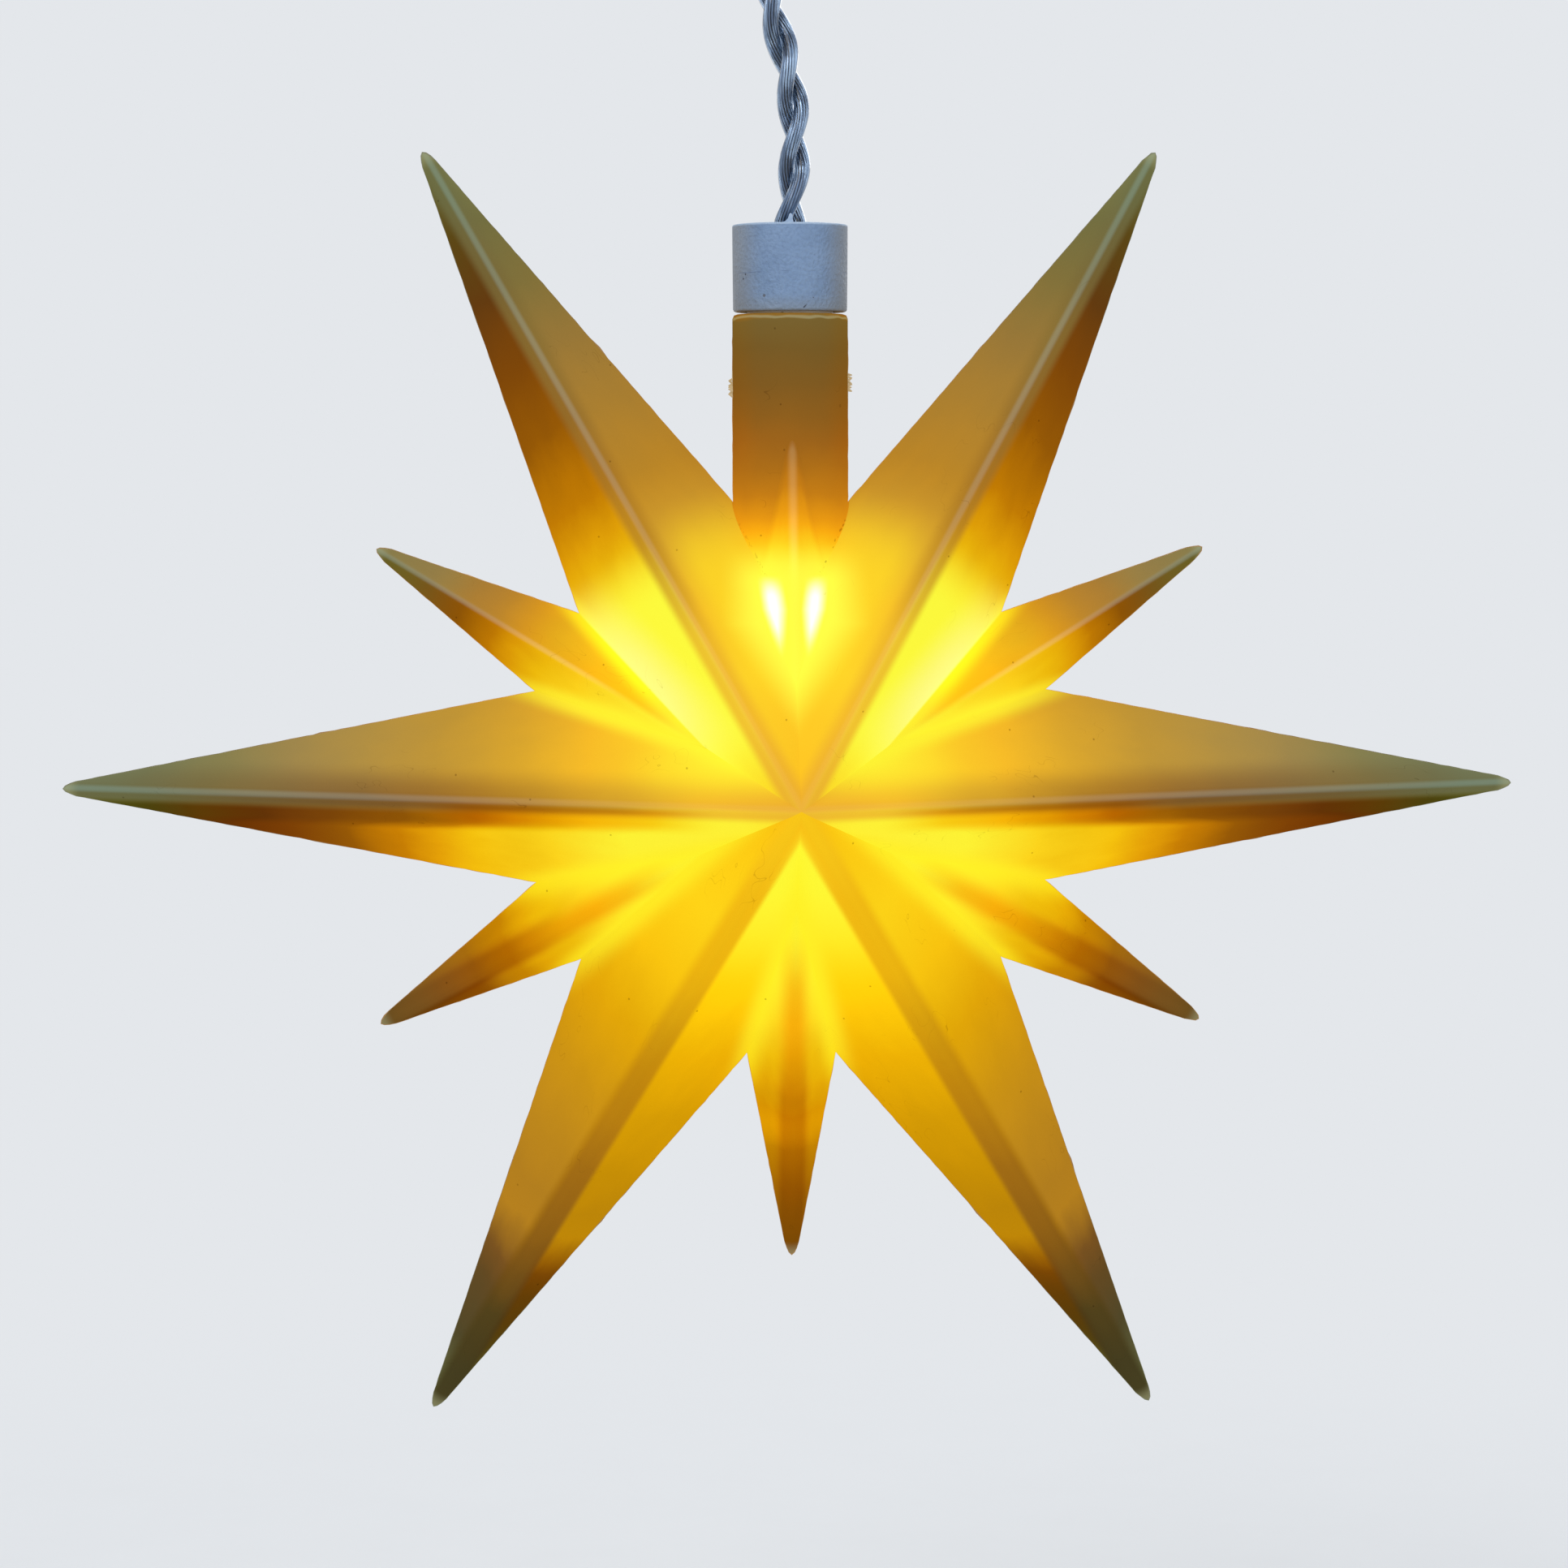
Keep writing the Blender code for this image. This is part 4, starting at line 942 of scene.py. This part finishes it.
# Cable seal: a flat disc of grey rubber, cut with a slot that grips both wires. The stem presses
# it against the cap's roof, so that no water runs down the pair into the holder.
seal_top, seal_low = 0.04465 + star_height, 0.04315 + star_height
seal_radius, seal_round = 0.00354, 0.0001
seal_bm = carved(turned_form([
    (0, seal_top), (seal_radius - seal_round, seal_top), (seal_radius, seal_top - seal_round),
    (seal_radius, seal_low + seal_round), (seal_radius - seal_round, seal_low), (0, seal_low)], 64),
    ("DIFFERENCE", slot_form(seal_top, seal_top - seal_low, 8)))
grey_rubber = moulded_finish(
    "grey_seal_rubber", tint(74, 75, 78), tint(62, 63, 66), 0.62, 0.00003, 4200, 0.6)
piece("slotted_seal", seal_bm, grey_rubber, "lead", ["cable_seal"], sharp=40)


# LED carrier: the white moulded stem under the cap, with a snap rib, a groove for the neck's seal
# ring and the LED's socket at its foot. A pressed-in ring keeps the LED in.
carrier_top, carrier_low = 0.04285 + star_height, 0.02025 + star_height
stem_radius, carrier_bore, groove_radius, head_radius = 0.00354, 0.00247, 0.00295, 0.00369
groove_top, groove_low = 0.03665 + star_height, 0.03572 + star_height
head_top, socket_bore, socket_top = carrier_low + 0.0040, 0.0032, carrier_low + 0.0024
rib_middle, rib_half_height, rib_rise = carrier_top - 0.0007, 0.0002, 0.00015
carrier_edge, groove_lip = 0.0003, 0.00006
carrier_bm = turned_form([
    (stem_radius - carrier_edge, carrier_top), (stem_radius, carrier_top - carrier_edge),
    (stem_radius, rib_middle + rib_half_height), (stem_radius + rib_rise, rib_middle),
    (stem_radius, rib_middle - rib_half_height), (stem_radius, groove_top + groove_lip),
    (stem_radius - groove_lip, groove_top), (groove_radius, groove_top), (groove_radius, groove_low),
    (stem_radius - groove_lip, groove_low), (stem_radius, groove_low - groove_lip),
    (stem_radius, head_top + carrier_edge), (head_radius, head_top),
    (head_radius, carrier_low + carrier_edge),
    (head_radius - carrier_edge / 3, carrier_low + carrier_edge / 3),
    (head_radius - carrier_edge, carrier_low), (socket_bore, carrier_low), (socket_bore, socket_top),
    (carrier_bore, socket_top), (carrier_bore, carrier_top)])
holder_white = moulded_finish(
    "white_holder", tint(228, 231, 233), tint(219, 223, 227), 0.42, 0.00002, 3200, 0.5)
piece("stem_with_socket", carrier_bm, holder_white, "lead", ["led_carrier"], sharp=28)

press_radius, press_bore, press_edge = 0.0031, 0.0026, 0.00007
press_top, chamfer_top = carrier_low + 0.0008, carrier_low + 0.00008
pressed_bm = turned_form([
    (press_radius, press_top), (press_radius, chamfer_top), (press_radius - press_edge, carrier_low),
    (press_bore + press_edge, carrier_low), (press_bore, chamfer_top), (press_bore, press_top)])
piece("pressed_ring", pressed_bm, holder_white, "lead", ["led_retaining_ring"], sharp=28)


# Neck seal ring: a moulded ring of soft grey rubber that lies in the stem's groove. The star's neck
# is pushed over it, is held by its grip, and can be turned on it.
ring_radius, ring_section, ring_middle = 0.003395, 0.000345, (groove_top + groove_low) / 2
ring_sides = 20


def round_ring(radius, middle, section, steps):
    """A ring of round section."""
    turns = [pi / 2 - 2 * pi * number / ring_sides for number in range(ring_sides)]
    outline = [(radius + section * cos(turn), middle + section * sin(turn)) for turn in turns]
    return turned_form(outline, steps)


piece("neck_ring", round_ring(ring_radius, ring_middle, ring_section, 96), grey_rubber, "neck_ring",
      ["neck_seal_ring"], sharp=180)


# LED: a 5 mm lamp cast in clear epoxy with its dome down, a flat on its flange, and inside it the
# stamped tinned lead frame with the lit chip in its cup. A phosphor makes its light warm.
led_base, led_radius, led_flange, led_height = 0.02235 + star_height, 0.0025, 0.0029, 0.0086
flange_low, flange_round, flat_share = led_base - 0.0010, 0.0001, 0.87
dome_middle, dome_steps = led_base - led_height + led_radius, 16
dome_turns = [pi / 2 * number / dome_steps for number in range(1, dome_steps)]
led_bm = turned_form([
    (0, led_base), (led_flange - flange_round, led_base), (led_flange, led_base - flange_round),
    (led_flange, flange_low + flange_round), (led_flange - flange_round, flange_low),
    (led_radius + flange_round, flange_low), (led_radius, flange_low - flange_round),
    (led_radius, dome_middle),
    *((led_radius * cos(turn), dome_middle - led_radius * sin(turn)) for turn in dome_turns),
    (0, led_base - led_height)], 72)
bmesh.ops.bisect_plane(led_bm, geom=led_bm.verts[:] + led_bm.edges[:] + led_bm.faces[:], dist=1e-7,
                       plane_co=(-led_flange * flat_share, 0, 0), plane_no=(-1, 0, 0), clear_outer=True)
bmesh.ops.holes_fill(led_bm, edges=[edge for edge in led_bm.edges if edge.is_boundary], sides=0)
bmesh.ops.recalc_face_normals(led_bm, faces=led_bm.faces)


def epoxy_finish():
    """Cast epoxy: clear with a breath of yellow, a few faint flow lines and fine scuffs."""
    material, shader, place = new_finish(
        "clear_epoxy", tint(252, 250, 238), 0.04, Transmission_Weight=1.0, IOR=1.5)
    scuffs, flow = grain(place, 1500, 3), fade(grain(place, 420), 0.35, 0.7)
    feed(shader, Base_Color=mixed(flow, tint(252, 250, 240), tint(244, 238, 214)),
         Roughness=fade(scuffs, 0.5, 0.8, 0.03, 0.14))
    relief(shader, scuffs, 0.000004)
    return material


piece("led_dome", led_bm, epoxy_finish(), "lead", ["led_lens"], sharp=30)


def metal_finish(name, colour, dull, roughness, scale, stretch=(1, 1, 1)):
    """Bare metal with drawn or stamped streaks and dull patches."""
    material, shader, place = new_finish(name, colour, roughness, Metallic=1.0)
    streaks, patches = grain(place, scale, 3, stretch), grain(place, 700)
    base = mixed(fade(streaks, 0.35, 0.7), colour, dull)
    feed(shader, Base_Color=mixed(fade(patches, 0.55, 0.8, 0, 0.5), base, dull),
         Roughness=fade(streaks, 0.3, 0.7, roughness - 0.08, roughness + 0.12))
    relief(shader, streaks, 0.000006)
    return material


def dress(look, *names):
    """Gives CAD nodes whose shape is right their material."""
    for name in names:
        materials = frame["nodes"][name].data.materials
        materials.clear()
        materials.append(look)


dress(metal_finish("tinned_lead_frame", tint(206, 208, 212), tint(168, 171, 178), 0.28, 1800, (1, 1, 0.2)),
      "led_anode_lead", "led_cathode_lead")


def phosphor_finish():
    """The lit chip under its yellow phosphor, in fine bright grains."""
    material, shader, place = new_finish("lit_phosphor", tint(250, 232, 120), 0.6)
    dots = grain(place, 9000)
    feed(shader, Base_Color=mixed(dots, tint(255, 240, 150), tint(250, 214, 80)),
         Emission_Color=mixed(dots, tint(255, 252, 214), tint(255, 240, 160)), Emission_Strength=4.0)
    return material


dress(phosphor_finish(), "led_chip")


# Wiring in the stem: a lacquered series resistor with colour bands, soldered joints, black
# heat-shrink sleeves and two clear insulated feed wires that go up through the seal and the slot.
resistor_bands = [(0.34, 120, 70, 30), (0.42, 20, 20, 22), (0.50, 150, 30, 24), (0.63, 178, 140, 60)]


def resistor_finish():
    """Beige lacquer with generic colour bands round the body and tinned tails."""
    material, shader, place = new_finish("banded_lacquer", tint(206, 176, 128), 0.3)
    low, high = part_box("series_resistor")
    up = (parts(place)[2] - low.z) / (high.z - low.z)
    base = mixed(grain(place, 900), tint(212, 183, 136), tint(196, 164, 114))
    for middle, *colour in resistor_bands:
        base = mixed(fade(abs(up - middle), 0.024, 0.020), base, tint(*colour))
    tail = fade(abs(up - 0.5), 0.243, 0.2445)
    feed(shader, Base_Color=mixed(tail, base, tint(190, 192, 196)), Metallic=tail)
    relief(shader, grain(place, 2200), 0.00001)
    return material


dress(resistor_finish(), "series_resistor")
dress(metal_finish("dull_solder", tint(176, 178, 182), tint(140, 143, 150), 0.42, 1500),
      "solder_joint_anode", "solder_joint_feed", "solder_joint_cathode")
dress(moulded_finish("shrunk_sleeve", tint(32, 32, 34), tint(24, 24, 26), 0.55, 0.00002, 3600, 0.8),
      "sleeve_positive", "sleeve_negative")
dress(clear_insulation, "feed_wire_positive", "feed_wire_negative", "plug_wire_positive",
      "plug_wire_negative")


# Strain relief: a boot of milky vinyl that is moulded onto the pair below the plug and tapers down
# in five soft ribs, so that the wires don't break where they leave the plug.
boot_top, boot_length, boot_collar, boot_bore = -0.0203, 0.0096, 0.0016, 0.001655
boot_top_radius, boot_low_radius, boot_ribs, boot_groove, boot_edge = 0.0036, 0.0021, 5, 0.0005, 0.0002
boot_outline = [(boot_top_radius - boot_edge, boot_top), (boot_top_radius, boot_top - boot_edge),
                (boot_top_radius, boot_top - boot_collar + 0.0001)]
rib_shape = [
    (0.10, 0.25), (0.17, 0.85), (0.24, 1), (0.38, 1), (0.45, 0.85), (0.53, 0.25), (0.62, 0), (0.92, 0)]
for number in range(boot_ribs):
    for share, groove in rib_shape:
        taper = (number + share) / boot_ribs
        radius = boot_top_radius + (boot_low_radius - boot_top_radius) * taper
        boot_outline.append((radius - groove * min(boot_groove, (radius - boot_bore) / 2),
                             boot_top - boot_collar - (boot_length - boot_collar) * taper))
boot_outline += [(boot_low_radius - 0.00008, boot_top - boot_length), (boot_bore, boot_top - boot_length),
                 (boot_bore, boot_top)]
milky_vinyl = moulded_finish("milky_vinyl", tint(214, 219, 224), tint(200, 206, 213), 0.34, 0.00003, 2200,
                             0.4, Subsurface_Weight=0.35, Subsurface_Scale=0.0012)
strain_relief = piece("ribbed_boot", turned_form(boot_outline, 72), milky_vinyl, "lead",
                      ["strain_relief"], sharp=40)


# Plug: a milky vinyl body with a knurled grip and a collar that holds the nut. In its nose sits a
# white insert with a keyway and two brass sockets, and a grey ring seals the joint.
nose_radius, nose_top, nose_low, nose_edge = 0.0040, -0.0003, -0.0060, 0.0003
nose_bore, nose_floor, thread_end = 0.0031, -0.0160, -0.0048
collar_radius, collar_low, barrel_radius, edge_round = 0.0061, -0.0078, 0.0050, 0.0001
grip_radius, grip_top, grip_low, tail_radius, plug_low = 0.0058, -0.0130, -0.0168, 0.0044, -0.0200
knurl_count, knurl_radius, knurl_length, knurl_height, knurl_out = 24, 0.00028, 0.0030, -0.0151, 0.00008


def rods(count, circle, height, roundness, radius, length):
    """Upright round rods on a circle, to cut grooves with."""
    bm = bmesh.new()
    for number in range(count):
        turn = 2 * pi * number / count
        bmesh.ops.create_cone(
            bm, cap_ends=True, segments=roundness, radius1=radius, radius2=radius, depth=length,
            matrix=Matrix.Translation((circle * cos(turn), circle * sin(turn), height)))
    return bm


def thread(radius, depth, start, step, pitch, count):
    """The rounds of a thread in an outline, each of three steps down or up."""
    starts = [start + pitch * number for number in range(count)]
    return [(radius + depth * cut, first + step * number)
            for first in starts for number, cut in enumerate((0, 1, 1, 0))]


plug_outline = [
    (nose_radius - nose_edge, nose_top), (nose_radius, nose_top - nose_edge),
    *thread(nose_radius, -0.00018, -0.0012, -0.0002, -0.0009, 4), (nose_radius, thread_end),
    (nose_radius, nose_low), (collar_radius - edge_round, nose_low), (collar_radius, nose_low - edge_round),
    (collar_radius, collar_low + edge_round), (collar_radius - edge_round, collar_low),
    (barrel_radius, collar_low), (barrel_radius, grip_top), (grip_radius - edge_round, grip_top - 0.0002),
    (grip_radius, grip_top - 0.0004), (grip_radius, grip_low), (grip_radius - 0.0003, grip_low - 0.0004),
    (tail_radius, plug_low + 0.0006), (tail_radius - 0.0002, plug_low + 0.0003),
    (tail_radius - 0.0005, plug_low), (boot_bore, plug_low), (boot_bore, nose_floor),
    (nose_bore, nose_floor), (nose_bore, nose_top)]
knurls = rods(knurl_count, grip_radius + knurl_out, knurl_height, 10, knurl_radius, knurl_length)
plug_bm = carved(turned_form(plug_outline), ("DIFFERENCE", knurls))
plug_body = piece("plug_shell", plug_bm, milky_vinyl, "lead", ["plug_body"], sharp=32)

insert_radius, insert_low, insert_edge = 0.0030, -0.0115, 0.0002
key_size, key_height, key_stretch = 0.0010, -0.0055, 14
contact_offset, hole_radius, hole_middle, hole_depth = 0.0015, 0.00075, -0.0060, 0.0140
holes_bm = bmesh.new()
for side in (-1, 1):
    bmesh.ops.create_cone(
        holes_bm, cap_ends=True, segments=32, radius1=hole_radius, radius2=hole_radius, depth=hole_depth,
        matrix=Matrix.Translation((side * contact_offset, 0, hole_middle)))
bmesh.ops.create_cube(holes_bm, size=key_size, matrix=Matrix.Translation((0, insert_radius, key_height))
                      @ Matrix.Diagonal((1, 1, key_stretch, 1)))
insert_bm = carved(turned_form([
    (0, 0), (insert_radius - insert_edge, 0), (insert_radius - insert_edge * 0.3, -insert_edge * 0.3),
    (insert_radius, -insert_edge), (insert_radius, insert_low), (0, insert_low)], 72),
    ("DIFFERENCE", holes_bm))
contact_insert = piece("socket_insert", insert_bm, holder_white, "lead",
                       ["contact_insert"], sharp=32)

contact_radius, contact_bore, contact_top, contact_floor = 0.00065, 0.0004, -0.0006, -0.0070
contact_low, cup_bore, cup_floor = -0.0132, 0.00045, -0.0110
socket_brass = metal_finish("bare_brass", tint(214, 178, 98), tint(178, 140, 66), 0.3, 1600, (1, 1, 0.15))
for side, pole in ((1, "positive"), (-1, "negative")):
    socket_bm = turned_form([
        (0, contact_floor), (contact_bore, contact_floor), (contact_bore, contact_top - 0.0001),
        (contact_bore + 0.00007, contact_top), (contact_radius - 0.00005, contact_top),
        (contact_radius, contact_top - 0.00006), (contact_radius, contact_low), (cup_bore, contact_low),
        (cup_bore, cup_floor), (0, cup_floor)], 40)
    bmesh.ops.translate(socket_bm, verts=socket_bm.verts, vec=(side * contact_offset, 0, 0))
    piece(f"brass_socket_{pole}", socket_bm, socket_brass, "lead",
                               [f"contact_socket_{pole}"], sharp=30)

joint_ring_radius, joint_ring_middle, joint_ring_section = 0.0046, -0.0054, 0.0005
joint_ring_bm = round_ring(joint_ring_radius, joint_ring_middle, joint_ring_section, 72)
plug_ring = piece("plug_ring", joint_ring_bm, grey_rubber, "lead", ["plug_seal_ring"],
                  sharp=180)


# Coupling nut: a white fluted nut that turns on the barrel behind the collar, with a coarse thread
# inside its mouth and worn, rounded edges.
nut_radius, nut_bore, nut_top, nut_foot, nut_edge = 0.0078, 0.0064, -0.0005, -0.0099, 0.0003
nut_flange_top, nut_rear_bore = -0.0081, 0.0053
flute_count, flute_radius, flute_length, flute_height = 18, 0.0006, 0.0092, -0.0063
flute_out, flute_round = 0.00048, 0.0002
nut_outline = [
    (nut_radius - nut_edge, nut_top), (nut_radius - nut_edge / 3, nut_top - nut_edge / 3),
    (nut_radius, nut_top - nut_edge), (nut_radius, nut_foot + nut_edge),
    (nut_radius - nut_edge / 3, nut_foot + nut_edge / 3), (nut_radius - nut_edge, nut_foot),
    (nut_rear_bore, nut_foot), (nut_rear_bore, nut_flange_top), (nut_bore, nut_flange_top),
    *thread(nut_bore, 0.0003, -0.0051, 0.0002, 0.0010, 4), (nut_bore, nut_top - nut_edge),
    (nut_bore + nut_edge, nut_top)]
flutes = rods(flute_count, nut_radius + flute_out, flute_height, 20, flute_radius, flute_length)
rims = [edge for edge in flutes.edges if edge.calc_face_angle(0) > 1]
bmesh.ops.bevel(flutes, geom=rims, offset=flute_round, segments=3, profile=0.5, affect="EDGES",
                material=-1)
nut_bm = carved(turned_form(nut_outline, 108), ("DIFFERENCE", flutes))
coupling_nut = piece("fluted_nut", nut_bm, holder_white, "nut", ["coupling_nut"],
                     sharp=32)


# Colours show as they are written, with the Standard view. The lead hangs from its plug, 33 mm free
# between the boot and the cap's slot.
scene.view_settings.view_transform = "Standard"
